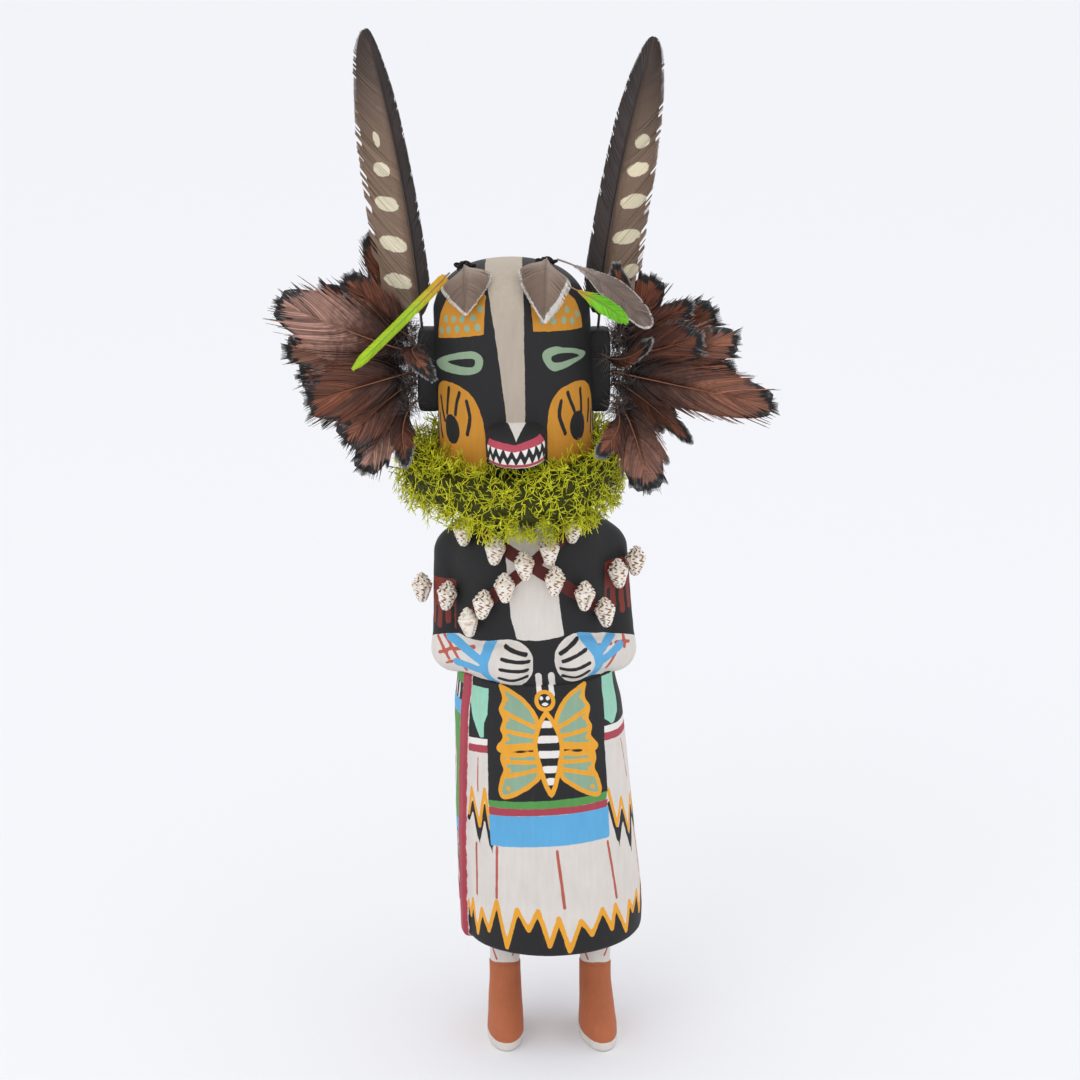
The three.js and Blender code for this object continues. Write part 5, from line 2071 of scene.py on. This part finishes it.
@dataclass(frozen=True)
class Headdress:
    """Every feather of the doll: two wing feathers, two bunches and those over the forehead."""

    head: Point = (-14.5, 262.0)
    lean: float = -0.035
    ear_reach: float = 42.4
    ear_y: float = 5.0
    gap: float = 0.6
    bunch_top: float = 330.0
    bunch_foot: float = 300.0
    turn_out: float = 9.0
    turn_lift: float = 0.25

    def _bunch(self, side: int, rows: Sequence[Point]) -> list[Feather]:
        """One bunch, from the top of the fan down.

        Args:
            side: -1 for the doll's right.
            rows: Tip x and z, half width, depth from -1 in front to 1 behind, roundness, and how
                far the tip hangs forward.

        Returns:
            Its feathers.
        """
        middle = (self.bunch_top + self.bunch_foot) / 2
        face = self.head[0] + self.lean * (middle - self.head[1]) + side * (self.ear_reach + self.gap)
        name = "right" if side < 0 else "left"
        feathers = []
        for i, (x, z, half_width, depth, tip, forward) in enumerate(rows):
            height = self.bunch_top + (self.bunch_foot - self.bunch_top) * i / (len(rows) - 1)
            vane = Vane(Kind.BODY, half_width, tip)
            feathers.append(
                Feather(
                    f"bunch_feather_{name}_{i + 1}",
                    (face, self.ear_y + 4.3 * depth, height),
                    (
                        face + side * self.turn_out,
                        2 + 11 * depth - forward / 2,
                        height + (height - middle) * self.turn_lift,
                    ),
                    (x, -4 + 17 * depth - forward, z),
                    vane,
                    vane,
                    loose=0.75,
                    lean=1.9,
                    web=0.74,
                    shaft=0.42,
                    fluff=120,
                )
            )
        return feathers

    def build(self) -> None:
        """Makes every feather."""
        strands = Strands()
        right = (
            (-80, 374, 9, 0.82, 0.5, 0), (-90, 359, 11, -0.05, 0.4, 0), (-103, 349, 12, 0.45, 0.3, 0),
            (-120.5, 349, 15.5, -0.5, 0.3, 0), (-118, 325, 12, 0.12, 0.3, 0), (-113, 309, 12, 0.64, 0.3, 0),
            (-108, 304, 15, -0.84, 0.3, 0), (-103, 294, 11, 0.27, 0.3, 0), (-92, 283, 13, -0.35, 0.3, 0),
            (-88, 282, 11, 1, 0.3, 0), (-83.5, 268, 10.5, -0.2, 0.3, 0), (-62, 280, 6, -1, 0.6, 15),
        )
        left = (
            (27, 366, 6, -0.45, 0.5, 0), (46, 356, 11, 0.64, 0.4, 0), (63, 345, 8, 0.3, 0.5, 0),
            (74, 339, 12, 0.82, 0.3, 0), (67, 332, 12.5, -0.3, 0.3, 0), (83, 330, 12, -0.1, 0.3, 0),
            (98.5, 303, 13, -0.86, 0.3, 0), (84, 309, 12, 0.45, 0.3, 0), (63, 281, 6, 0.12, 0.8, 0),
            (54, 284, 11, 1, 0.3, 0), (43, 267, 12, -0.9, 0.3, 13), (19, 288, 5.5, -1.4, 0.5, 19),
        )
        seed = SEED
        for feather in [*self._bunch(-1, right), *self._bunch(1, left)]:
            # the outer colour, partly painted sheen on the palest feathers
            outer = OUTER_TONE_AND_SHEEN.get(feather.node, (144, 84, 58))
            plumage = BodyPlumage(f"plumage {feather.node}", feather.length(), outer=outer)
            feather.build(strands, plumage.material(), "rust_feather", seed)
            seed += 1
        front = self.ear_y - 6.6
        curled = (
            Feather(
                "curled_feather_right", (-55, front, 323), (-68, -21, 335), (-50, -29, 317),
                Vane(Kind.BODY, 6.4, 0.5), Vane(Kind.BODY, 5.6, 0.5), 0.9, (0.3, -0.6, 0.75),
                lean=1.6, web=0.8, shaft=0.4, fluff=60,
            ),
            Feather(
                "curled_feather_left", (22, front, 322), (31, -21, 320), (44, -27, 335),
                Vane(Kind.BODY, 6.6, 0.5), Vane(Kind.BODY, 6, 0.5), 0.9, (-0.3, -0.5, 0.8),
                lean=1.6, web=0.8, shaft=0.4, fluff=60,
            ),
        )
        for feather in curled:
            plumage = BodyPlumage(f"plumage {feather.node}", feather.length(), band_width=6)
            feather.build(strands, plumage.material(), "rust_feather", seed)
            seed += 1
        self._wings(strands)
        self._forehead(strands)

    def _wings(self, strands: Strands) -> None:
        """The two long wing feathers."""
        top = 332.3
        right = Feather(
            "wing_feather_right", (-56.6, 5, top), (-62.5, 3, 400), (-79.4, 6, 464),
            Vane(Kind.WING, 19, 0.45), Vane(Kind.WING, 5.8, 0.3), 1.5, (0, -1, 0),
            loose=0.16, clumps=14, lean=1.5, thick=0.27, shaft=0.6,
        )
        left = Feather(
            "wing_feather_left", (20.6, 5, top), (26, 3, 396), (44, 6, 460.5),
            Vane(Kind.WING, 8.6, 0.3), Vane(Kind.WING, 17, 0.45), 1.5, (0, -1, 0),
            loose=0.16, clumps=14, lean=1.5, thick=0.27, shaft=0.6,
        )
        spots_right = (
            (21.7, -7.8, 3.6, 6.4), (38.6, -8, 3.9, 6.2), (56.8, -8, 3.6, 5.4), (72.2, -7.4, 3.4, 3.6),
            (85.9, -7, 3.6, 1.4),
        )
        spots_left = (
            (27.3, 11, 3.6, 4), (42.9, 7.5, 3.6, 6.2), (59.1, 7.6, 3.6, 5.8), (73.5, 7, 3.4, 4.8),
            (86, 6.4, 3.4, 3.2),
        )
        for feather, side, spots in ((right, -1, spots_right), (left, 1, spots_left)):
            plumage = WingPlumage(f"plumage {feather.node}", side, spots, feather.length())
            feather.build(strands, plumage.material(), "wing_feather", WING_SEED + side)

    def _forehead(self, strands: Strands) -> None:
        """The coverts and coloured feathers that hang over the brow."""
        covert_right, covert_left = Vane(Kind.COVERT, 11.6), Vane(Kind.COVERT, 12)
        strip, grey, green = Vane(Kind.STRIP, 2.3), Vane(Kind.BODY, 5.8, 0.35), Vane(Kind.BODY, 4.2, 0.7)
        brown = ((176, 158, 143), (146, 124, 109), (238, 234, 228))
        rows = (
            (
                Feather(
                    "forehead_covert_right", (-37.6, -7.8, 363.4), (-37.2, -24, 362), (-36.6, -34.5, 347.8),
                    covert_right, covert_right, 1.8, (-0.3, -0.6, 0.74),
                    loose=0.12, clumps=16, lean=0.9, shaft=0.34,
                ),
                brown, (0.7, 1.5), "grey_feather",
            ),
            (
                Feather(
                    "forehead_covert_left", (-2, -6, 366), (-2.4, -26, 364.5), (-2.8, -37, 345),
                    covert_left, covert_left, 1.8, (0.3, -0.6, 0.74),
                    loose=0.12, clumps=16, lean=0.9, shaft=0.34,
                ),
                brown, (3.2, 1.2), "grey_feather",
            ),
            (
                Feather(
                    "forehead_grey_left", (2.6, -4, 365), (25, -16, 361), (42.4, -30, 341),
                    grey, grey, 0.4, (0.1, -0.75, 0.6), loose=0.2, lean=1.4, clumps=12, shaft=0.45,
                ),
                ((196, 184, 174), (136, 118, 108), (232, 228, 224)), (0.9, 1.1), "grey_feather",
            ),
            (
                Feather(
                    "forehead_green_right", (-44, -12, 361), (-60, -26, 347), (-85.6, -33, 323.3),
                    strip, strip, 0.2, (0, -1, 0.3), loose=0.15, lean=1.6, clumps=12, shaft=0.4,
                ),
                ((230, 176, 44), (176, 214, 34), (222, 220, 70)), (0.5, 0.2), "green_feather",
            ),
            (
                Feather(
                    "forehead_green_left", (7, -27, 359), (20, -32, 354), (33, -34, 344.5),
                    green, green, 0.2, (0.1, -1, 0.3), loose=0.5, lean=1.5, clumps=9, shaft=0.3,
                ),
                ((236, 160, 44), (126, 204, 42), (150, 216, 60)), (0.3, 0.3), "green_feather",
            ),
        )
        for i, (feather, (root, middle, edge), edges, slot) in enumerate(rows):
            plumage = EdgedPlumage(
                f"plumage {feather.node}", feather.length(), root, middle, edge, edges
            )
            feather.build(strands, plumage.material(), slot, BROW_SEED + i)


# ---------------------------------------------------------------- lichen ruff


@dataclass
class Sprig:
    """A small tuft of branching lichen, with about a hundred faces."""

    height: float = 9.0
    thick: float = 0.56

    def build(self, name: str, seed: int) -> bpy.types.Object:
        """Makes one tuft that grows along +Z.

        Args:
            name: Name of its object.
            seed: Seed of its branching.

        Returns:
            An object that is only copied from.
        """
        draw = np.random.default_rng(seed)
        points: list[Array] = []
        faces: list[list[int]] = []
        heights_in_tuft: list[float] = []
        todo = [(np.zeros(3), np.array([0.0, 0.0, 1.0]), self.height * 0.42, self.thick, 0)]
        while todo:
            start, way, long, thick, level = todo.pop(0)
            side = unit(np.cross(way, [0.31, 0.83, 0.47]))
            other = np.cross(way, side)
            bend = draw.normal(0, 0.22, 3)
            first = len(points)
            place = start
            for k, share in enumerate((0.0, 0.5, 1.0)):
                place = start + way * long * share + bend * long * share * share * 0.6
                radius = thick * (1 - 0.36 * share)
                for turn in (0.0, 2.1, 4.2):
                    points.append(place + radius * (side * math.cos(turn) + other * math.sin(turn)))
                    # height up the tuft; the finish paints its foot olive as shade
                    heights_in_tuft.append((level + share) / 3)
                if k:
                    a = first + 3 * (k - 1)
                    faces += [[a + j, a + (j + 1) % 3, a + 3 + (j + 1) % 3, a + 3 + j] for j in range(3)]
            faces += [[first + 2, first + 1, first], [first + 6, first + 7, first + 8]]
            if level < 2:
                for _ in range(3):
                    spread = unit(way * (0.75 if level else 0.6) + draw.normal(0, 0.62, 3))
                    todo.append((place, spread, long * (0.85 + 0.3 * draw.random()), thick * 0.66, level + 1))
        mesh = bpy.data.meshes.new(name)
        mesh.from_pydata([p.tolist() for p in points], [], faces)
        store(mesh, "age", heights_in_tuft)
        return bpy.data.objects.new(name, mesh)


class Thicket:
    """Grows tufts over a surface, with Geometry Nodes."""

    def __init__(self) -> None:
        """Builds the tree."""
        self.tree = bpy.data.node_groups.new("thicket", "GeometryNodeTree")
        face = self.tree.interface
        face.new_socket("Ground", in_out="INPUT", socket_type="NodeSocketGeometry")
        kinds = (
            ("Tufts", "NodeSocketCollection"), ("Closest", "NodeSocketFloat"), ("Density", "NodeSocketFloat"),
            ("Smallest", "NodeSocketFloat"), ("Largest", "NodeSocketFloat"), ("Seed", "NodeSocketInt"),
            ("Finish", "NodeSocketMaterial"),
        )
        self.keys = {
            name: face.new_socket(name, in_out="INPUT", socket_type=kind).identifier for name, kind in kinds
        }
        face.new_socket("Growth", in_out="OUTPUT", socket_type="NodeSocketGeometry")
        add, link = self.tree.nodes.new, self.tree.links.new
        entry, end = add("NodeGroupInput"), add("NodeGroupOutput")
        spread = add("GeometryNodeDistributePointsOnFaces")
        spread.distribute_method = "POISSON"
        tufts = add("GeometryNodeCollectionInfo")
        tufts.inputs["Separate Children"].default_value = True
        tufts.inputs["Reset Children"].default_value = True
        copy = add("GeometryNodeInstanceOnPoints")
        copy.inputs["Pick Instance"].default_value = True
        size = add("FunctionNodeRandomValue")
        turn = add("FunctionNodeRandomValue")
        turn.data_type = "FLOAT_VECTOR"
        turn.inputs[0].default_value = (-0.75, -0.75, -math.pi)
        turn.inputs[1].default_value = (0.75, 0.75, math.pi)
        twist = add("GeometryNodeRotateInstances")
        shade = add("FunctionNodeRandomValue")
        store = add("GeometryNodeStoreNamedAttribute")
        store.domain = "INSTANCE"
        store.inputs["Name"].default_value = "shade"
        whole, dress = add("GeometryNodeRealizeInstances"), add("GeometryNodeSetMaterial")
        for source, out, target, into in (
            (entry, "Ground", spread, "Mesh"),
            (entry, "Closest", spread, "Distance Min"),
            (entry, "Density", spread, "Density Max"),
            (entry, "Seed", spread, "Seed"),
            (entry, "Tufts", tufts, "Collection"),
            (spread, "Points", copy, "Points"),
            (spread, "Rotation", copy, "Rotation"),
            (tufts, "Instances", copy, "Instance"),
            (entry, "Smallest", size, 2),
            (entry, "Largest", size, 3),
            (entry, "Seed", size, "Seed"),
            (size, 1, copy, "Scale"),
            (copy, "Instances", twist, "Instances"),
            (turn, 0, twist, "Rotation"),
            (twist, "Instances", store, "Geometry"),
            (shade, 1, store, "Value"),
            (store, "Geometry", whole, "Geometry"),
            (whole, "Geometry", dress, "Geometry"),
            (entry, "Finish", dress, "Material"),
            (dress, "Geometry", end, "Growth"),
        ):
            link(source.outputs[out], target.inputs[into])

    def grow(
        self,
        ground: tuple[Array, list[list[int]]],
        tufts: bpy.types.Collection,
        finish: bpy.types.Material,
        **sizes: float,
    ) -> bpy.types.Mesh:
        """Grows tufts over a surface.

        Args:
            ground: Points in mm and faces of the surface.
            tufts: The tufts to copy.
            finish: Their material.
            sizes: Values of the tree's other inputs.

        Returns:
            A plain mesh in mm.
        """
        mesh = bpy.data.meshes.new("ground")
        mesh.from_pydata(ground[0].tolist(), [], ground[1])
        values = {"Tufts": tufts, "Finish": finish, **sizes}
        return run_tree(mesh, self.tree, {self.keys[key]: value for key, value in values.items()})


@dataclass(frozen=True)
class Lichen:
    """Dyed lichen, bright yellow green at its tips, with olive painted shade low in each sprig and deep in
    the ruff.
    """

    # painted shade: the olive where the sprigs lie deep in the ruff
    deep: Colour = (112, 114, 14)
    middle: Colour = (206, 208, 26)
    tip: Colour = (236, 236, 56)
    name: str = "lichen"

    def material(self) -> bpy.types.Material:
        """Builds the finish."""
        graph = Graph(self.name)
        age, shade = graph.field("age"), graph.field("shade")
        grain = graph.noise(1500, 2)
        # The foot of each sprig is painted olive as shade, rising to its own yellow green.
        colour = graph.mix(linear(self.deep), linear(self.middle), (age + (grain - 0.5) * 0.3).step(0.0, 0.5))
        colour = graph.mix(colour, linear(self.tip), age.step(0.5, 1.0) * (0.35 + shade * 0.65))
        colour = graph.mix(colour, graph.grey(0.66 + shade * 0.44), 1.0, "MULTIPLY")
        return graph.surface(colour, 0.75, grain, 0.1, Specular_IOR_Level=0.3)


@dataclass
class Ruff:
    """The ring of lichen around the foot of the mask."""

    x: float = -17.6
    z: float = 267.0
    radius: float = 38.0
    half_width: float = 9.6
    half_height: float = 11.0
    tilt: float = 0.05
    rise: float = 0.09
    thin: float = 3.6
    thin_start: float = 0.2
    thin_lift: float = 0.8
    free_reach: float = 48.5
    mask: Point = (-14.7, 34.6)

    def build(self) -> None:
        """Makes the core and the tufts."""
        count, rows = 120, 40
        around = turns(count)
        over = turns(rows)
        lumps = 0.8 * np.sin(around * 9) * np.cos(around * 4 + 1)
        reach = self.radius + (self.half_width + lumps)[None, :] * np.cos(over)[:, None]
        x = self.x + reach * np.cos(around)
        y = reach * np.sin(around)
        thin = self.thin * np.maximum(self.thin_start - np.cos(around), 0)
        z = self.z + self.tilt * y + self.rise * np.maximum(x - self.x, 0) + self.thin_lift * thin
        z += (self.half_height - thin + lumps)[None, :] * np.sin(over)[:, None]
        points = np.stack([x, y, z], -1).reshape(-1, 3)
        points += 0.7 * unevenness(points, 9, 8)[:, None] * unit(points - [self.x, 0, self.z])
        ring = grid_faces(rows, count).tolist()
        last = (rows - 1) * count
        ring += [[a + last, (a + 1) % count + last, (a + 1) % count, a] for a in range(count)]
        finish = Lichen().material()
        zeros = np.zeros(len(points))
        core = make_piece("lichen_core", points, ring, {"age": zeros + 0.2, "shade": zeros + 0.2})
        # The core is painted dark olive as shade, so the gaps between the tufts read as shadow.
        depth = Lichen((52, 54, 10), (88, 92, 16), (120, 124, 24), "lichen depth")
        core.data.materials.append(depth.material())
        finish_piece(core, "lichen", "lichen_ruff")
        middle = points[np.array(ring)].mean(axis=1)
        open_air = np.hypot(middle[:, 0] - self.mask[0], middle[:, 1]) > self.mask[1]
        ground = (points, [f for f, keep in zip(ring, open_air) if keep])
        tufts = bpy.data.collections.new("tufts")
        sprigs = [Sprig().build(f"sprig_{i}", SEED + i) for i in range(5)]
        for sprig in sprigs:
            tufts.objects.link(sprig)
        mesh = Thicket().grow(
            ground, tufts, finish, Closest=2.5, Density=0.32, Smallest=0.62, Largest=1.08, Seed=SEED
        )
        grown, grown_faces, fields = mesh_arrays(mesh, ("age", "shade"))
        grown = self._pressed(grown)
        for sprig in sprigs:
            bpy.data.objects.remove(sprig)
        bpy.data.collections.remove(tufts)
        bpy.data.meshes.remove(mesh)
        piece = make_piece("lichen_tufts", grown, grown_faces, fields)
        piece.data.materials.append(finish)
        finish_piece(piece, "lichen", "lichen_ruff")

    def _pressed(self, points: Array) -> Array:
        """Presses the outermost tips back toward the ring, as a hand would when it is glued on."""
        offset = points[:, :2] - [self.x, 0]
        reach = np.linalg.norm(offset, axis=1)
        kept = np.where(reach > self.free_reach, self.free_reach + (reach - self.free_reach) * 0.5, reach)
        result = points.copy()
        result[:, :2] = offset * (kept / reach)[:, None] + [self.x, 0]
        return result


# ---------------------------------------------------------------- shells and cords


@dataclass(frozen=True)
class ShellFinish:
    """Polished cream shell with brown chevrons, and painted shade inside its mouth."""

    ground: Colour = (238, 232, 222)
    tan: Colour = (206, 164, 112)
    brown: Colour = (112, 70, 42)

    def material(self) -> bpy.types.Material:
        """Builds the finish."""
        graph = Graph("shell")
        mark, hollow, worn = graph.field("mark"), graph.field("hollow"), graph.field("worn")
        stray = graph.noise(900, 3) - 0.5
        fog = graph.noise(260, 2)
        colour = graph.mix(linear(self.ground), linear(self.tan), (fog + worn * 0.14).step(0.56, 0.8) * 0.7)
        here = mark + stray * 0.35 - worn * 0.9
        colour = graph.mix(colour, linear(self.tan), here.step(-0.05, 0.25) * 0.85)
        colour = graph.mix(colour, linear(self.brown), here.step(0.34, 0.56))
        # painted shade: darkens the inside of the shell's mouth
        colour = graph.mix(colour, linear((96, 62, 44)), hollow * 0.55)
        return graph.surface(colour, 0.32, stray, 0.08, Specular_IOR_Level=0.6, Coat_Weight=0.25)


@dataclass
class Shells:
    """The little spiral shells on the crossed bandoliers and the armbands."""

    chest: int = 11
    arms: int = 4
    length: float = 14.0
    outline: Stations = Stations(
        (
            (0, 0.6), (0.5, 1.6), (1.8, 2.4), (4.4, 3.4), (7.0, 4.25), (8.1, 4.5), (9.2, 3.95), (10.6, 3.15),
            (12.0, 2.25), (13.3, 1.3), (14, 0.3),
        )
    )
    whorl: float = 1.75
    plain: int = 11
    pitch: float = 2.7
    columns: int = 7

    def build(self) -> None:
        """Makes every shell where its node is."""
        finish = ShellFinish().material()
        leans = [(f"bandolier_shell_{i + 1}", 0.12 * math.sin(i * 2.3)) for i in range(self.chest)]
        leans += [(f"armband_shell_{i + 1}", 0.1 * math.cos(i * 1.7)) for i in range(self.arms)]
        for i, (node, lean) in enumerate(leans):
            points, faces, fields = self._spiral(np.random.default_rng(SEED + i), i + 1 == self.plain)
            low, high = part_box(node)
            middle = ((np.array(low) + np.array(high)) / 2 - ORIGIN) / MM
            cos, sin = math.cos(lean), math.sin(lean)
            turn = np.array([[cos, 0, sin], [0, 1, 0], [-sin, 0, cos]])
            piece = make_piece(f"{node}_spiral", points @ turn.T + middle, faces, fields)
            piece.data.materials.append(finish)
            finish_piece(piece, "shell", node)

    def _spiral(
        self, draw: np.random.Generator, plain: bool
    ) -> tuple[Array, list[list[int]], dict[str, Array]]:
        """One shell about its own middle.

        Args:
            draw: Source of its irregularity.
            plain: Whether it is worn smooth.

        Returns:
            Points, faces and values.
        """
        count, rows = 56, 54
        turn = turns(count)
        high = np.linspace(0, self.length, rows)[:, None] + 0 * turn
        (radius,) = self.outline.at(high)
        start = draw.random() * 2 * math.pi
        coil = (high - self.whorl * (turn + start) / (2 * math.pi)) / self.whorl
        step = coil - np.floor(coil)
        spire = ease(8.2, 9.6, high) * ease(14, 13.2, high)
        body = 1 - ease(8.2, 9.4, high)
        relief = 1.1 if plain else 1.35
        radius = radius + spire * relief * (0.42 - step)
        ribs = np.cos(11 * turn + 1.2 * high) * ease(0.5, 3, high)
        knobs = np.exp(-(((high - 8.4) / 1.1) ** 2)) + spire * np.exp(-((step / 0.35) ** 2))
        radius = radius + (0.12 + 0.17 * knobs) * ribs * (0.35 if plain else 1.0)
        radius = radius + 0.07 * body * np.cos(2 * math.pi * high / 1.15) * ease(0.4, 1.5, high)
        away = np.angle(np.exp(1j * (turn - start - 0.5 - 0.06 * high)))
        mouth = np.exp(-((away / 0.2) ** 2)) * ease(0.2, 1.6, high) * ease(8.8, 6.6, high)
        radius = np.maximum(radius - 1.1 * mouth, 0.12)
        zigzag = np.arcsin(np.sin(2 * math.pi * high / self.pitch + start)) * 1.15
        breaks = 0.55 * np.cos(4 * math.pi * high / self.pitch + 5 * turn)
        chevrons = np.sin(self.columns * turn + zigzag + start) * 0.95
        mark = chevrons + 0.25 * np.sin(3 * turn - high) + breaks - 0.2
        x, y = radius * np.cos(turn), radius * np.sin(turn) * 0.92
        points = np.stack([x, y, high - self.length / 2], -1).reshape(-1, 3)
        ends = [[0, 0, -self.length / 2], [0, 0, self.length / 2]]
        worn = 0.9 if plain else 0.35 * draw.random()
        fields = {
            "mark": np.append(mark.ravel(), [0, 0]),
            # how far into the shell's mouth, where the finish paints shade
            "hollow": np.append(mouth.ravel(), [0, 0]),
            "worn": np.full(count * rows + 2, worn),
        }
        return np.vstack([points, ends]), capped(rows, count), fields


@dataclass
class Cords:
    """The tied black cords on the crown that hold the forehead feathers."""

    thick: float = 0.62
    count: int = 220
    sides: int = 8

    def build(self) -> None:
        """Makes both knots."""
        count, sides = self.count, self.sides
        finish = self._material()
        for name in ("cord_knot_right", "cord_knot_left"):
            low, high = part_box(name)
            middle = ((np.array(low) + np.array(high)) / 2 - ORIGIN) / MM
            size = (np.array(high) - np.array(low)) / MM / 2 - self.thick
            t = turns(count)
            path = np.stack(
                [
                    size[0] * np.sin(2 * t) * (0.75 + 0.25 * np.cos(3 * t)),
                    size[1] * np.sin(3 * t) * 0.9,
                    size[2] * np.cos(5 * t) * (0.55 + 0.4 * np.cos(t)),
                ],
                -1,
            )
            along = unit(np.roll(path, -1, 0) - np.roll(path, 1, 0))
            side = unit(np.cross(along, [0.2, 0.1, 1.0]))
            other = np.cross(along, side)
            turn = np.arange(sides) * math.pi / 4
            spoke = spokes(side, other, turn)
            points = (middle + path[:, None] + spoke * self.thick).reshape(-1, 3)
            faces = grid_faces(count, sides).tolist()
            last = (count - 1) * sides
            for j in range(sides):
                n = (j + 1) % sides
                faces.append([last + j, last + n, n, j])
            ply = np.repeat(t, sides) * 40 + np.tile(turn, count) * 2
            piece = make_piece(f"{name}_loops", points, faces, {"ply": np.sin(ply)})
            piece.data.materials.append(finish)
            finish_piece(piece, "black_cord", name)

    @staticmethod
    def _material() -> bpy.types.Material:
        """Twisted black cotton."""
        graph = Graph("black cord")
        ply = graph.field("ply")
        fuzz = graph.noise(4000, 2)
        colour = graph.mix(linear((18, 18, 20)), linear((52, 50, 52)), (ply * 0.3 + fuzz).step(0.4, 1.0))
        return graph.surface(colour, 0.8, ply * 0.5 + 0.5, 0.2, Specular_IOR_Level=0.3)


# ---------------------------------------------------------------- studio


@dataclass
class Studio:
    """A flat floor of pale paper, soft light and the camera."""

    aim_across: float = 0.0068
    aim_height: float = 0.508
    elevation: float = 17.7
    distance: float = 1.7
    view_angle: float = 16.1

    def build(self) -> None:
        """Sets up floor, lights, world and camera."""
        low, high = CAD_BOX
        aim = Vector(((low[0] + high[0]) / 2 + self.aim_across, 0, (high[2] - low[2]) * self.aim_height))
        self._floor()
        self._lights(aim)
        tilt = math.radians(self.elevation)
        lens = bpy.data.cameras.new("camera")
        lens.sensor_width = 36
        lens.angle = math.radians(self.view_angle)
        camera = bpy.data.objects.new("camera", lens)
        camera.location = aim + Vector((0, -math.cos(tilt), math.sin(tilt))) * self.distance
        camera.rotation_euler = (math.pi / 2 - tilt, 0, 0)
        bpy.context.scene.collection.objects.link(camera)
        bpy.context.scene.camera = camera

    @staticmethod
    def _floor() -> None:
        """Lays a wide pale floor."""
        mesh = bpy.data.meshes.new("floor")
        mesh.from_pydata([(-4, -4, 0), (4, -4, 0), (4, 4, 0), (-4, 4, 0)], [], [(0, 1, 2, 3)])
        floor = bpy.data.objects.new("floor", mesh)
        bpy.context.scene.collection.objects.link(floor)
        graph = Graph("pale paper")
        paper = graph.noise(900, 3)
        tone = graph.mix(linear((234, 234, 235)), linear((239, 239, 240)), paper)
        floor.data.materials.append(graph.surface(tone, 0.9, None, Specular_IOR_Level=0.1))

    @staticmethod
    def _lights(aim: Vector) -> None:
        """Hangs soft lights around the doll under a bright sky of paper."""
        world = bpy.data.worlds.new("studio")
        bpy.context.scene.world = world
        world.use_nodes = True
        world.node_tree.nodes["Background"].inputs["Color"].default_value = (0.955, 0.965, 1.0, 1)
        world.node_tree.nodes["Background"].inputs["Strength"].default_value = 1.1
        for name, place, size, power in (
            ("key", (-0.7, -1.0, 1.3), 0.9, 3.2),
            ("fill", (1.1, -0.9, 0.8), 1.0, 0.6),
        ):
            lamp = bpy.data.lights.new(name, "AREA")
            lamp.size, lamp.energy = size, power
            light = bpy.data.objects.new(name, lamp)
            light.location = aim + Vector(place)
            light.rotation_euler = (aim - light.location).to_track_quat("-Z", "Y").to_euler()
            bpy.context.scene.collection.objects.link(light)
        bpy.context.scene.view_settings.view_transform = "Standard"


# ---------------------------------------------------------------- assembly


def main() -> None:
    """Builds the doll and its studio."""
    logging.basicConfig(level=logging.INFO, format="%(message)s")
    Studio().build()
    parts = (Kilt(), Body(), CaseMask(), Snout(), Boots(), Ears(), Headdress(), Ruff(), Shells(), Cords())
    for part in parts:
        part.build()


if __name__ == "__main__":
    main()
